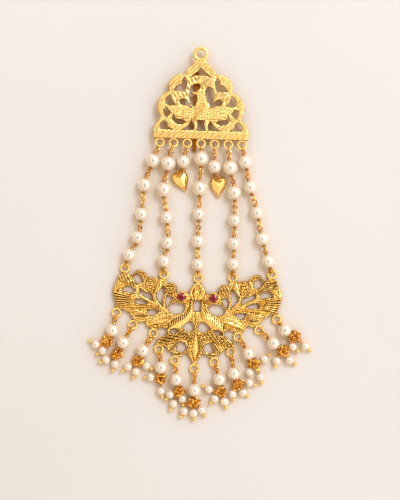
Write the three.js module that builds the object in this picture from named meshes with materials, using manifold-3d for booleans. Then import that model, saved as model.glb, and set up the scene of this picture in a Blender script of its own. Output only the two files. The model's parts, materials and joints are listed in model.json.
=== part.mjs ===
// A passa: a side head ornament of gold-plated brass and pearls, lying face up on a flat surface.
// A pierced upper plate carries five strands of pearls and two short heart drops. The strands carry
// a cast lower plate with two birds, and eleven pearl drops with small pearl clusters hang below it.
// Millimetres, +Z up, +Y towards the hanger ring. The origin is the middle of the footprint.
import * as THREE from 'three';
import { mergeVertices } from 'three/addons/utils/BufferGeometryUtils.js';
import Module from 'manifold-3d';

// Driving dimensions
const PLATE_THICK = 1.2;          // sawn stems, bands and rims of both plates
const RAISED_THICK = 1.6;         // leaves, wings and flowers stand a little proud
const UPPER_BACK_Z = 2.6;         // height of the upper plate's back, carried by its hair hook
const LOWER_BACK_Z = 0.6;         // height of the lower plate's back, carried by the rings in its loops
const UPPER_PLACE = { x: 0.35, y: 37.75, turnDeg: 0, slope: -0.034 };
const LOWER_PLACE = { x: -1.5, y: -35.6, turnDeg: -2.5, slope: 0 };
const HANGER = { v: 33.9, outer: 3.1, hole: 1.7 };
const LOOP = { ring: 1.55, wire: 0.3 };
const LINK = { ring: 0.82, wire: 0.22 };  // jump ring that hangs in a loop with 0.3 mm to spare
const BORE = 0.7;
const PIN = 0.4;
const PIN_PAST_PEARL = 0.8;
const CHAIN = 0.75;               // outer form of the fine chain links between two pearls
const HOOK_WIRE = 0.8;
const SMALL_PEARL = 1.7;
const BALL_END = 0.85;
const KNOT = 1.7;
const HEAD_PIN = 0.3;
const RUBY = { radius: 1.6, height: 1.5, seat: 0.3 };
const CUP = { outer: 2.5, inner: 1.9, height: 1.3 };

// Materials
const metal = (color, roughness) => new THREE.MeshStandardMaterial({ color, roughness, metalness: 1 });
const MATERIALS = {
  gold: metal(0xe8b84a, 0.3),
  chain: metal(0xc98f2e, 0.35),
  pearl: new THREE.MeshStandardMaterial({ color: 0xf6f0e6, roughness: 0.2, metalness: 0 }),
  ruby: new THREE.MeshStandardMaterial({ color: 0x9c1f4a, roughness: 0.08, metalness: 0 }),
};

const wasm = await Module();
wasm.setup();

// ---------------------------------------------------------------- solids

function toSolid(geometry) {
  const bare = geometry.clone();
  bare.deleteAttribute('normal');
  bare.deleteAttribute('uv');
  const merged = mergeVertices(bare, 1e-4);
  return new wasm.Manifold(new wasm.Mesh({
    numProp: 3,
    vertProperties: merged.getAttribute('position').array,
    triVerts: new Uint32Array(merged.index.array),
  }));
}

function toGeometry(solid) {
  const mesh = solid.getMesh();
  return new THREE.BufferGeometry()
    .setAttribute('position', new THREE.BufferAttribute(mesh.vertProperties, 3))
    .setIndex(new THREE.BufferAttribute(mesh.triVerts, 1));
}

const join = (solids) => solids.reduce((all, one) => all.add(one));

// An outline in plate coordinates, drawn up into a slab.
function slab(outline, thick, low = 0) {
  const shape = new THREE.Shape(outline);
  const geometry = new THREE.ExtrudeGeometry(shape, { depth: thick, bevelEnabled: false });
  return toSolid(geometry.translate(0, 0, low));
}

// ---------------------------------------------------------------- outlines, as lists of Vector2

const v2 = (u, v) => new THREE.Vector2(u, v);
const mirrored = (outline) => outline.map((p) => v2(-p.x, p.y));
const bothSides = (outline) => [outline, mirrored(outline)];

function oval(u, v, radiusU, radiusV = radiusU, sides = 12) {
  const outline = [];
  for (let i = 0; i < sides; i += 1) {
    const a = (2 * Math.PI * i) / sides;
    outline.push(v2(u + radiusU * Math.cos(a), v + radiusV * Math.sin(a)));
  }
  return outline;
}

const listed = (rows) => rows.map(([u, v]) => v2(u, v));
const acrossPlate = (rows) => rows.flatMap(([u, v]) => (u > 0 ? [[-u, v], [u, v]] : [[u, v]]));
// A plate's right edge, from top to bottom, and its mirror image close the plate's outline.
const wholeOutline = (rows) => [...mirrored(listed(rows)).reverse(), ...listed(rows)].filter(
  (p, i, all) => p.distanceTo(all[(i + 1) % all.length]) > 1e-6,
);

function pierced(plate, windows) {
  const cutters = windows.flatMap((rows) => {
    const outline = listed(rows);
    const crosses = outline.some((p) => p.x <= 0.01);
    return (crosses ? [wholeOutline(rows)] : bothSides(outline)).map((o) => slab(o, 9, -4));
  });
  return plate.subtract(join(cutters));
}

// ---------------------------------------------------------------- upper plate

// Right edge from the neck of the hanger to the end of the bar: four scallops and the plain bar.
const UPPER_EDGE = [
  [0, 32.6], [1.6, 32.0], [3.0, 30.0], [5.0, 28.2], [6.2, 25.9], [8.6, 25.9], [10.9, 24.5], [12.5, 22.5], [12.9, 20.3],
  [12.5, 18.9], [14.6, 18.0], [16.4, 15.8], [17.4, 13.4], [17.3, 11.0], [16.0, 8.5], [16.4, 7.8], [17.9, 6.2],
  [18.9, 4.0], [19.0, 1.6], [18.8, 0], [0, 0],
];
const UPPER_WINDOWS = [
  [[0, 28.5], [1.6, 26.8], [4.5, 24.3], [2.4, 25.2], [0, 25.5]],                                      // over the tail
  [[6.6, 24.6], [7.6, 23.0], [7.5, 21.6], [9.4, 21.1], [10.9, 19.2], [6.3, 18.8], [5.6, 22.4]],       // tail and rim
  [[12.3, 17.4], [13.9, 15.9], [14.1, 13.6], [12.4, 13.2], [10.1, 13.5], [11.4, 15.1]],               // wing and rim
  [[13.8, 12.2], [15.1, 11.4], [14.8, 9.4], [13.8, 8.1], [12.1, 10.1]],                               // wing tip
  [[14.9, 7.0], [16.4, 5.4], [16.2, 3.6], [11.2, 3.5], [13.3, 4.5], [13.6, 6.2]],                     // bar's corner
  [[11.0, 9.6], [10.0, 7.9], [7.2, 7.5], [6.0, 6.6], [7.8, 5.8], [9.8, 6.0], [11.6, 7.7]],            // under the wing
  [[3.8, 7.5], [2.8, 5.2], [3.1, 3.6], [7.7, 3.4], [5.2, 5.2]],                                       // beside a leg
  [[0, 7.5], [1.6, 7.5], [1.2, 5.8], [1.8, 3.4], [0, 3.4]],                                           // between the legs
  [[3.6, 12.3], [5.6, 15.2], [7.4, 16.0], [8.7, 15.0], [8.0, 13.8], [5.8, 13.3]],                     // side feather
];
// The window on each side of the bird's head, right and left.
const TAIL_WINDOWS = [
  [[4.0, 12.9], [3.0, 14.6], [2.2, 16.6], [1.8, 18.8], [2.3, 20.4], [3.4, 20.9], [4.5, 20.1], [5.1, 18.0], [4.9, 15.2]],
  [[-2.9, 12.9], [-4.2, 14.4], [-4.7, 16.4], [-4.6, 18.6], [-4.2, 20.2], [-3.2, 21.5], [-1.6, 22.0], [-0.3, 21.8],
    [-0.3, 20.6], [-1.1, 19.8], [-1.6, 18.6], [-1.7, 16.6], [-1.8, 15.2], [-2.2, 13.9]],
];
const BEAK = [[-1.0, 19.4], [-4.4, 18.2], [-1.2, 17.2]];
const WING = [[1.8, 11.2], [4.3, 11.7], [8.0, 13.1], [10.2, 13.2], [12.0, 12.6], [11.8, 10.6], [10.4, 8.8], [8.6, 8.0],
  [4.4, 7.8], [1.8, 8.4]];
const LOOP_COUNT = 7;
const LOOP_PITCH = 5.47;
const LOOP_DROP = 1.7;            // loop centres below the bar's lower edge

function loop(u, v, thick) {
  const ring = new THREE.TorusGeometry(LOOP.ring, LOOP.wire, 4, 10);
  return toSolid(ring.translate(u, v, thick / 2));
}

const topLoops = [];
for (let i = 0; i < LOOP_COUNT; i += 1) topLoops.push([(i - (LOOP_COUNT - 1) / 2) * LOOP_PITCH, -LOOP_DROP]);

// The hair hook is soldered behind the tail, runs down behind the plate and ends below the bar.
function hairHook() {
  const lyingZ = HOOK_WIRE - UPPER_BACK_Z + 0.12;
  const line = new THREE.CatmullRomCurve3([
    new THREE.Vector3(-1.5, 27.4, 0.4), new THREE.Vector3(-1.5, 27.2, -0.9), new THREE.Vector3(-1.5, 26.0, lyingZ),
    new THREE.Vector3(-1.8, 18.0, lyingZ), new THREE.Vector3(-2.4, 4.0, lyingZ), new THREE.Vector3(-2.7, -5.0, lyingZ),
  ], false, 'centripetal');
  const section = new THREE.Shape(oval(0, 0, HOOK_WIRE, HOOK_WIRE, 6));
  return toSolid(new THREE.ExtrudeGeometry(section, { steps: 12, extrudePath: line }));
}

function upperPlate() {
  const raised = [
    oval(0, 11.0, 3.0, 3.9),
    oval(0.1, 17.9, 1.7, 1.8, 10),
    listed([[-1.2, 16.8], [1.2, 16.8], [1.8, 13.8], [-1.8, 13.8]]),
    ...bothSides(listed(WING)),
  ];
  const hole = toSolid(new THREE.CylinderGeometry(HANGER.hole, HANGER.hole, 8, 16).rotateX(Math.PI / 2))
    .translate([0, HANGER.v, 0]);
  const besideHead = join(TAIL_WINDOWS.map((rows) => slab(listed(rows), 9, -4)));
  return join([
    pierced(slab(wholeOutline(UPPER_EDGE), PLATE_THICK), UPPER_WINDOWS).subtract(besideHead),
    slab(listed(BEAK), PLATE_THICK),
    ...raised.map((outline) => slab(outline, RAISED_THICK)),
    slab(oval(0, HANGER.v, HANGER.outer, HANGER.outer, 20), PLATE_THICK),
    ...topLoops.map(([u, v]) => loop(u, v, PLATE_THICK)),
  ]).subtract(hole).add(hairHook());
}

// ---------------------------------------------------------------- lower plate

const RUBY_SEAT = [6.4, 10.0];
// Right edge from the crown between the birds, round the spray and the lower leaves, to the tip.
const LOWER_EDGE = [
  [0, 16.4], [1.6, 15.4], [3.2, 12.8], [3.6, 11.4], [6.4, 12.4], [8.4, 11.6], [8.4, 14.0], [9.4, 15.2], [10.8, 15.7],
  [12.2, 15.2], [12.9, 17.0], [14.8, 17.0], [16.2, 17.0], [18.6, 17.6], [20.4, 17.4], [21.4, 19.2], [23.2, 20.2],
  [25.0, 19.8], [26.8, 17.6], [28.6, 19.1], [31.6, 18.2], [32.4, 15.8], [33.4, 14.0], [33.8, 11.2], [33.2, 8.4],
  [32.4, 6.4], [32.8, 4.4], [30.4, 4.3], [27.8, 3.2], [26.2, 1.6], [24.6, -0.3], [23.3, -0.9], [20.4, -0.4],
  [19.8, -2.2], [17.6, -3.3], [16.2, -3.2], [13.0, -2.6], [11.6, -2.9], [11.4, -4.8], [13.8, -6.4], [15.4, -7.6],
  [15.8, -9.3], [14.6, -9.7], [12.9, -9.9], [11.4, -10.6], [10.6, -12.2], [8.8, -12.4], [8.8, -13.8], [7.0, -13.9],
  [5.2, -13.5], [3.4, -12.2], [2.4, -13.8], [1.2, -15.0], [0.9, -16.9], [0, -17.0],
];
const LOWER_WINDOWS = [
  [[0, 8.9], [1.5, 8.9], [1.5, 4.3], [0, 4.5]],                                                         // under the crown
  [[4.7, 6.6], [6.2, 7.4], [9.6, 7.4], [11.3, 6.0], [11.4, 4.8], [10.4, 3.5], [8.2, 3.1], [6.0, 3.6], [4.9, 4.9]],
  [[9.7, 9.6], [11.2, 10.4], [12.4, 10.4], [12.7, 8.0], [12.4, 5.6], [11.2, 6.8]],                      // flower's stem
  [[13.7, 14.2], [15.0, 12.6], [16.3, 11.0], [16.0, 8.8], [13.6, 6.0], [13.9, 8.4], [13.3, 11.6]],      // tulip's stem
  [[18.6, 10.5], [20.8, 11.3], [23.2, 12.7], [23.4, 10.7], [20.6, 9.4], [17.6, 7.7]],                   // spray
  [[24.8, 12.0], [26.0, 13.1], [28.2, 13.5], [30.2, 12.6], [30.4, 11.5], [27.4, 11.0], [25.6, 10.4]],   // fan's hollow
  [[21.9, 15.6], [22.6, 17.2], [23.6, 18.5], [25.0, 18.4], [26.2, 16.6], [24.2, 14.4]],                 // curl
  [[19.4, 7.1], [21.8, 8.3], [24.4, 8.7], [25.1, 6.9], [22.0, 6.4]],                                    // under the fan
  [[14.9, 4.0], [17.4, 4.5], [20.1, 4.4], [18.8, 2.0], [17.2, 2.2]],                                    // over the wing
  [[1.9, 0.4], [3.2, 0.2], [5.9, -2.2], [3.0, -3.9], [1.4, -3.4], [0.8, -2.0]],                         // beside the stem
  [[6.8, -3.2], [8.4, -2.7], [10.0, -3.2], [10.6, -4.3], [8.4, -4.9]],                                  // under the neck
  [[3.4, -9.6], [4.6, -8.3], [6.4, -7.8], [7.0, -9.4], [7.9, -11.6], [5.6, -12.1], [3.7, -11.5]],       // lower leaves
];
// Modelled relief that stands proud of the sawn plate.
const LOWER_RELIEF = [
  [[1.9, 8.4], [3.4, 8.7], [3.9, 5.4], [5.6, 2.8], [8.4, 1.1], [10.9, -1.2], [10.9, -3.6], [7.6, -2.2], [4.4, -0.9],
    [2.6, 1.4], [1.8, 4.0]],                                                                             // neck
  [[10.9, 2.2], [13.6, 2.4], [16.8, 0.8], [19.6, -1.4], [17.2, -2.4], [13.2, -2.2], [11.4, 0]],          // wing
  [[20.0, 3.2], [22.6, 3.9], [27.4, 3.2], [24.6, 1.4], [21.2, 0.6], [19.4, 1.4]],                        // bud
  [[17.4, 10.9], [15.4, 13.4], [14.2, 15.6], [15.8, 16.6], [18.4, 17.0], [20.2, 16.4], [21.6, 13.4], [19.6, 11.6]],
  [[25.4, 9.9], [30.6, 10.8], [33.3, 11.0], [32.8, 8.6], [31.8, 6.2], [26.0, 7.0], [25.0, 8.4]],         // fan
  [[24.7, 13.0], [26.4, 16.0], [28.8, 18.2], [31.4, 17.6], [30.4, 14.6], [27.4, 14.0]],                  // corner leaf
  [[4.6, -5.6], [8.4, -5.4], [12.4, -6.4], [15.2, -7.9], [15.0, -9.0], [11.6, -9.4], [7.8, -7.4]],       // lower leaf
];
const ROUND_FLOWER = { u: 10.9, v: 13.1, radius: 2.3 };
const CENTRE_LEAF = [[0, -3.0], [1.0, -4.6], [2.2, -8.0], [3.0, -11.4], [1.8, -14.0], [0, -15.4]];
const CROWN = [[0, 15.4], [1.6, 14.4], [2.7, 12.4], [2.9, 9.6], [-2.9, 9.6], [-2.7, 12.4], [-1.6, 14.4]];
const CENTRE_BUD = { u: 0, v: 2.6, radiusU: 1.2, radiusV: 1.7 };
const STRAND_LOOPS = [[29.5, 20.6], [13.8, 18.7], [0, 17.9]];
const DROP_LOOPS = [[32.2, 2.7], [25.3, -1.9], [17.0, -5.0], [14.5, -11.2], [7.9, -15.5], [0, -18.5]];

function settingCup(u) {
  const ring = (radius, high) => slab(oval(u, RUBY_SEAT[1], radius, radius, 12), high);
  return ring(CUP.outer, PLATE_THICK + CUP.height).subtract(ring(CUP.inner, 9).translate([0, 0, PLATE_THICK]));
}

function lowerPlate() {
  const raised = [
    ...LOWER_RELIEF.flatMap((rows) => bothSides(listed(rows))),
    ...bothSides(oval(ROUND_FLOWER.u, ROUND_FLOWER.v, ROUND_FLOWER.radius, ROUND_FLOWER.radius, 10)),
    wholeOutline(CENTRE_LEAF),
    listed(CROWN),
    oval(CENTRE_BUD.u, CENTRE_BUD.v, CENTRE_BUD.radiusU, CENTRE_BUD.radiusV, 8),
  ];
  const seatSides = [RUBY_SEAT[0], -RUBY_SEAT[0]];
  const seats = seatSides.map((u) => slab(oval(u, RUBY_SEAT[1], CUP.inner, CUP.inner, 12), 9, PLATE_THICK));
  const body = join([
    pierced(slab(wholeOutline(LOWER_EDGE), PLATE_THICK), LOWER_WINDOWS),
    ...raised.map((o) => slab(o, RAISED_THICK)),
    ...seatSides.map(settingCup),
  ]);
  const rings = acrossPlate([...STRAND_LOOPS, ...DROP_LOOPS]).map(([u, v]) => loop(u, v, PLATE_THICK));
  return join([body.subtract(join(seats)), ...rings]);
}

// ---------------------------------------------------------------- pieces that hang

const v3 = (x, y, z) => new THREE.Vector3(x, y, z);
const UP = v3(0, 0, 1);

// Turns a shape made along +Y so that it runs along a level direction, with its own +Z still up.
function levelAlong(direction, at) {
  const y = v3(direction.x, direction.y, 0).normalize();
  return new THREE.Matrix4().makeBasis(y.clone().cross(UP), y, UP).setPosition(at);
}

// A round bead bored through along +Y.
function bead(radius) {
  const rows = 4;
  const start = Math.asin(BORE / radius);
  const profile = [];
  for (let i = 0; i <= rows; i += 1) {
    const a = start + ((Math.PI - 2 * start) * i) / rows;
    profile.push(v2(radius * Math.sin(a), -radius * Math.cos(a)));
  }
  profile.push(profile[0].clone());
  return new THREE.LatheGeometry(profile, 10);
}

// A rod, or a spindle when its middle is thicker than its ends, between two points in space. Its
// corners are turned from its neighbour's, so that two rods that meet end to end cross cleanly.
function rod(from, to, radius, { middle = radius, sides = 4, turn = 0 } = {}) {
  const along = to.clone().sub(from);
  const length = along.length();
  const ends = [v2(0, 0), v2(radius, 0)];
  const waist = middle > radius ? [v2(middle, length * 0.25), v2(middle, length * 0.75)] : [];
  const profile = [...ends, ...waist, v2(radius, length), v2(0, length)];
  const geometry = new THREE.LatheGeometry(profile, sides, turn);
  geometry.applyQuaternion(new THREE.Quaternion().setFromUnitVectors(v3(0, 1, 0), along.normalize()));
  return toSolid(geometry.translate(from.x, from.y, from.z));
}

// A jump ring standing across a loop's wire, on the side that faces the thread.
function jumpRing(at, direction) {
  const ring = new THREE.TorusGeometry(LINK.ring, LINK.wire, 4, 7);
  ring.rotateY(Math.PI / 2);
  return toSolid(ring.applyMatrix4(levelAlong(direction, at)));
}

const level = (from, to) => v3(to.x - from.x, to.y - from.y, 0).normalize();

// Pins through a row of pearls, chain between them, and a jump ring at each end that holds a loop.
function thread(pearls, loops) {
  const stops = [loops[0], ...pearls.map((p) => p.at), loops[1]].filter(Boolean);
  const solids = [];
  let last = null;
  const hang = (end, towards) => {
    const way = level(end, towards);
    const at = end.clone().addScaledVector(way, LOOP.ring);
    solids.push(jumpRing(at, way));
    return at.addScaledVector(way, LINK.ring);
  };
  if (loops[0]) last = hang(loops[0], pearls[0].at);
  pearls.forEach((pearl, i) => {
    const before = stops[i];
    const after = stops[Math.min(i + 2, stops.length - 1)];
    const way = level(before, after);
    const reach = pearl.radius + PIN_PAST_PEARL;
    const start = pearl.at.clone().addScaledVector(way, -reach);
    const end = pearl.at.clone().addScaledVector(way, reach);
    solids.push(rod(start, end, PIN));
    const short = last.distanceTo(start) < 1.6;
    const past = start.clone().addScaledVector(way, 0.25);
    solids.push(rod(last, past, PIN * 0.8, { middle: short ? PIN * 0.8 : CHAIN, turn: Math.PI / 4 }));
    last = end.clone().addScaledVector(way, -0.25);
  });
  if (loops[1]) {
    const end = hang(loops[1], pearls[pearls.length - 1].at);
    solids.push(rod(last, end, PIN * 0.8, { turn: Math.PI / 4 }));
  }
  return { solid: join(solids), end: last };
}

// Five strands, left to right: where each pearl lies and how large it is, from the upper plate down.
const STRANDS = [
  { loop: 0, pearls: [[-18.8, 29.3, 5.4], [-22.1, 19.5, 5.3], [-23.4, 7.9, 5.1], [-24.9, -1.4, 5.0], [-28.2, -8.5, 5.0]] },
  { loop: 1, pearls: [[-12.7, 28.1, 5.8], [-14.4, 17.7, 5.7], [-13.3, 6.6, 5.0], [-12.9, -3.6, 5.0], [-14.4, -11.0, 5.0]] },
  { loop: 3, pearls: [[0.5, 30.1, 5.8], [-0.1, 18.3, 5.9], [-0.4, 8.0, 5.0], [-0.8, -3.0, 5.0], [-0.8, -12.3, 5.0]] },
  { loop: 5, pearls: [[12.1, 26.4, 5.8], [13.7, 16.4, 5.6], [13.9, 5.4, 5.0], [13.6, -4.0, 5.0], [13.4, -12.1, 5.0]] },
  { loop: 6, pearls: [[18.1, 28.7, 5.3], [20.1, 18.7, 5.1], [22.8, 8.4, 5.0], [24.9, -2.0, 5.0], [27.3, -11.0, 5.1]] },
];
// Two short drops: one pearl and a puffed heart each.
const HEART_DROPS = [
  { side: 'left', loop: 2, pearl: [-6.6, 28.9, 5.3], heart: [-7.4, 20.9], turnDeg: 24 },
  { side: 'right', loop: 4, pearl: [5.9, 26.8, 5.3], heart: [7.3, 18.6], turnDeg: -1 },
];
const HEART = { width: 6.7, height: 9.2, thick: 2.6, bevel: 0.9 };

const pearlOf = ([x, y, diameter]) => ({ at: v3(x, y, diameter / 2), radius: diameter / 2 });

function heartOutline() {
  const half = HEART.width / 2 - HEART.bevel;
  const top = HEART.height / 2 - HEART.bevel;
  const lobe = new THREE.EllipseCurve(half / 2, top - half / 2, half / 2, half / 2, Math.PI * 0.9, -Math.PI * 0.1, true);
  const right = [v2(0, top - half * 0.62), ...lobe.getPoints(4).slice(1), v2(half * 0.82, -0.2), v2(0, -top)];
  return [...right, ...mirrored(right.slice(1, -1)).reverse()];
}

function heartSolid(drop) {
  const shape = new THREE.Shape(heartOutline());
  const geometry = new THREE.ExtrudeGeometry(shape, {
    depth: HEART.thick - 2 * HEART.bevel, bevelThickness: HEART.bevel, bevelSize: HEART.bevel, bevelSegments: 1,
  });
  geometry.translate(0, 0, HEART.bevel).rotateZ(THREE.MathUtils.degToRad(drop.turnDeg));
  return toSolid(geometry.translate(drop.heart[0], drop.heart[1], 0));
}

function heartDrop(drop, loopAt) {
  const pearl = pearlOf(drop.pearl);
  const heartAt = v3(drop.heart[0], drop.heart[1], HEART.thick / 2);
  const { solid, end } = thread([pearl], [loopAt, null]);
  const notch = heartAt.clone().addScaledVector(level(heartAt, end), HEART.height * 0.3);
  return join([solid, rod(end, notch, PIN * 0.8, { turn: Math.PI / 4 }), heartSolid(drop)]);
}

// Eleven drops, left to right: a pearl, the knot of eye loops under it, and the small pearls with
// the ball end of each one's head pin.
const DROPS = [
  { pearl: [-34.9, -38.6], knot: [-37.2, -42.9], small: [[-41.7, -44.3], [-39.0, -46.8]], balls: [[-44.0, -42.9], [-41.2, -48.2]] },
  { pearl: [-30.6, -43.5], knot: [-33.2, -47.7], small: [[-37.6, -50.4], [-34.0, -52.2]], balls: [[-40.0, -51.4], [-35.0, -54.8]] },
  { pearl: [-22.7, -46.7], knot: [-24.6, -50.9], small: [[-28.8, -53.2], [-25.6, -55.2], [-21.4, -52.8]], balls: [[-31.0, -54.9], [-26.9, -57.6], [-19.4, -54.0]] },
  { pearl: [-15.5, -53.4], knot: [-15.6, -58.1], small: [[-19.7, -57.4], [-15.6, -62.9]], balls: [[-22.0, -57.4], [-15.2, -65.2]] },
  { pearl: [-9.4, -58.3], knot: [-8.4, -63.3], small: [[-12.0, -64.4], [-10.6, -68.1], [-6.4, -71.0], [-7.0, -66.1]], balls: [[-13.6, -66.4], [-11.7, -70.4], [-7.7, -73.3]] },
  { pearl: [-2.2, -62.5], knot: [-2.5, -67.3], small: [[-2.6, -71.8], [0.6, -70.6]], balls: [[-2.4, -74.2], [1.8, -72.9]] },
  { pearl: [7.8, -58.2], knot: [8.2, -63.3], small: [[3.6, -62.3], [5.9, -66.0], [9.8, -67.2]], balls: [[1.2, -61.0], [4.3, -67.9], [10.3, -69.6]] },
  { pearl: [13.6, -55.8], knot: [15.1, -60.3], small: [[13.0, -64.2], [17.2, -63.5], [19.8, -59.7]], balls: [[13.4, -66.4], [19.0, -64.9], [22.1, -60.6]] },
  { pearl: [19.4, -47.8], knot: [21.4, -51.9], small: [[25.8, -50.2], [24.2, -57.4], [19.9, -55.4]], balls: [[27.8, -48.4], [24.6, -59.8]] },
  { pearl: [29.4, -43.7], knot: [33.4, -46.7], small: [[30.7, -50.8], [35.9, -50.6]], balls: [[30.0, -53.2], [38.0, -52.1]] },
  { pearl: [34.0, -38.5], knot: [38.2, -40.9], small: [[37.2, -45.2], [42.1, -45.0]], balls: [[39.2, -47.0], [43.9, -46.6]] },
];
const DROP_PEARL = 5.0;
const KNOT_Z = 1.8;

function cluster(drop, loopAt) {
  const pearl = pearlOf([...drop.pearl, DROP_PEARL]);
  const { solid, end } = thread([pearl], [loopAt, null]);
  const knotAt = v3(drop.knot[0], drop.knot[1], KNOT_Z);
  const knot = new THREE.IcosahedronGeometry(KNOT, 0).translate(knotAt.x, knotAt.y, knotAt.z);
  const sprays = drop.small.flatMap(([x, y], i) => {
    const at = v3(x, y, SMALL_PEARL);
    const small = new THREE.SphereGeometry(SMALL_PEARL, 8, 4).rotateX(Math.PI / 2).translate(x, y, at.z);
    const pinned = [rod(knotAt, at, HEAD_PIN, { sides: 3 }), toSolid(small)];
    if (!drop.balls[i]) return pinned;
    const ball = v3(drop.balls[i][0], drop.balls[i][1], SMALL_PEARL);
    const tip = new THREE.OctahedronGeometry(BALL_END, 0).translate(ball.x, ball.y, ball.z);
    return [...pinned, rod(at, ball, HEAD_PIN, { sides: 3 }), toSolid(tip)];
  });
  return join([solid, rod(end, knotAt, PIN * 0.8, { turn: Math.PI / 4 }), toSolid(knot), ...sprays]);
}

function rubyGeometry() {
  const { radius, height } = RUBY;
  const profile = [v2(0, 0), v2(radius * 0.3, 0), v2(radius, height * 0.6), v2(radius * 0.6, height), v2(0, height)];
  return new THREE.LatheGeometry(profile, 10).rotateX(Math.PI / 2);
}

// ---------------------------------------------------------------- the ornament

const ornament = new THREE.Group();

function place(name, geometry, material, parent = ornament) {
  const mesh = new THREE.Mesh(geometry, material);
  mesh.name = name;
  parent.add(mesh);
  return mesh;
}

// A plate's place: its turn, and the slight slope of its level lines.
function plateFrame({ x, y, turnDeg, slope }, backZ) {
  const frame = new THREE.Group();
  frame.matrixAutoUpdate = false;
  frame.matrix.makeShear(slope, 0, 0, 0, 0, 0)
    .premultiply(new THREE.Matrix4().makeRotationZ(THREE.MathUtils.degToRad(turnDeg)))
    .setPosition(x, y, backZ);
  ornament.add(frame);
  frame.updateMatrixWorld(true);
  return frame;
}

const upper = plateFrame(UPPER_PLACE, UPPER_BACK_Z);
const lower = plateFrame(LOWER_PLACE, LOWER_BACK_Z);
const loopPoint = (frame, [u, v]) => frame.localToWorld(v3(u, v, PLATE_THICK / 2));

place('upper_plate', toGeometry(upperPlate()), MATERIALS.gold, upper);
place('lower_plate', toGeometry(lowerPlate()), MATERIALS.gold, lower);
for (const [name, side] of [['ruby_left', -1], ['ruby_right', 1]]) {
  const ruby = place(name, rubyGeometry(), MATERIALS.ruby, lower);
  ruby.position.set(side * RUBY_SEAT[0], RUBY_SEAT[1], PLATE_THICK + RUBY.seat);
}

const upperLoops = topLoops.map((at) => loopPoint(upper, at));
const byX = (a, b) => a.x - b.x;
const strandEnds = acrossPlate(STRAND_LOOPS).map((at) => loopPoint(lower, at)).sort(byX);
const dropStarts = acrossPlate(DROP_LOOPS).map((at) => loopPoint(lower, at)).sort(byX);

function placePearl(name, pearl, way) {
  place(name, bead(pearl.radius).applyMatrix4(levelAlong(way, pearl.at)), MATERIALS.pearl);
}

STRANDS.forEach((strand, s) => {
  const pearls = strand.pearls.map(pearlOf);
  const ends = [upperLoops[strand.loop], strandEnds[s]];
  const stops = [ends[0], ...pearls.map((p) => p.at), ends[1]];
  place(`strand_${s + 1}_chain`, toGeometry(thread(pearls, ends).solid), MATERIALS.chain);
  pearls.forEach((pearl, i) => placePearl(`strand_${s + 1}_pearl_${i + 1}`, pearl, level(stops[i], stops[i + 2])));
});

for (const drop of HEART_DROPS) {
  const pearl = pearlOf(drop.pearl);
  place(`heart_drop_${drop.side}`, toGeometry(heartDrop(drop, upperLoops[drop.loop])), MATERIALS.gold);
  placePearl(`heart_pearl_${drop.side}`, pearl, level(upperLoops[drop.loop], pearl.at));
}

DROPS.forEach((drop, i) => {
  const pearl = pearlOf([...drop.pearl, DROP_PEARL]);
  place(`pearl_cluster_${i + 1}`, toGeometry(cluster(drop, dropStarts[i])), MATERIALS.chain);
  placePearl(`drop_pearl_${i + 1}`, pearl, level(dropStarts[i], pearl.at));
});

// The origin is the middle of the footprint, on the surface that it lies on.
const extent = new THREE.Box3().setFromObject(ornament, true);
const middle = extent.getCenter(new THREE.Vector3());
ornament.position.set(-middle.x, -middle.y, -extent.min.z);

export default ornament;
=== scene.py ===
"""A passa, a side head ornament of gold-plated brass and pearls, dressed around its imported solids.

Every sub-assembly is a class that takes its places from the frame, builds its own meshes in
millimetres and gives them a finish. The plates are cast reliefs: a grid of heights over the pierced
outline. The threads are wrapped wire, the pearls are coated glass, and the eyes are cut stones.
"""

from __future__ import annotations

import json
import logging
import math
from collections.abc import Callable, Sequence
from dataclasses import dataclass, field, replace
from enum import Enum

import bpy
import numpy as np
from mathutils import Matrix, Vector
from mathutils.geometry import tessellate_polygon

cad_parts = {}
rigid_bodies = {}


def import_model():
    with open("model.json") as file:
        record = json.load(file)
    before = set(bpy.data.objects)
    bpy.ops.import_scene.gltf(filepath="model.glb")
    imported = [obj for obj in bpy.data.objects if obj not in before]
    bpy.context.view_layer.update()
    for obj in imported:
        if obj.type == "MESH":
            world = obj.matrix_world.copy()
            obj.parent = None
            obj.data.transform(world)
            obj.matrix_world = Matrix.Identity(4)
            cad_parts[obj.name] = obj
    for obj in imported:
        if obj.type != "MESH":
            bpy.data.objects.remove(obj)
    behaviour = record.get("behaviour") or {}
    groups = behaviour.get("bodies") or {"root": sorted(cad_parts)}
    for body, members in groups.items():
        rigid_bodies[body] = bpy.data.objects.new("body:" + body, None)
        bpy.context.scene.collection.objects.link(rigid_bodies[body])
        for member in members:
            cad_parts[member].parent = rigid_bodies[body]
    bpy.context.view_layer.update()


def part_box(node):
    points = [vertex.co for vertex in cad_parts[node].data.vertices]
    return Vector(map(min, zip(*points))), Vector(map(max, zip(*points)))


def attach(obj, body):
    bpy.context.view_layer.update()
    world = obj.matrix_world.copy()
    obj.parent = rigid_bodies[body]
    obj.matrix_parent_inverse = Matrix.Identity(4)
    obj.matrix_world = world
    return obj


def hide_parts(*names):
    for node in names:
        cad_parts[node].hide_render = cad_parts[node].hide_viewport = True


log = logging.getLogger("passa")

MM = 0.001
BODY = "root"
SEED = 7
UP = np.array([0.0, 0.0, 1.0])
# The radius of a beaded wire over that of a plain one: at a neck, and what a bead adds.
BEAD_NECK, BEAD_SWELL = 0.76, 0.38

Rows = Sequence[Sequence[float]]
Array = np.ndarray
Pair = tuple[float, float]
Face = tuple[int, ...]
Material = bpy.types.Material
Place = Callable[[Array, Array, Array], Array]


# ---- small tools


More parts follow.
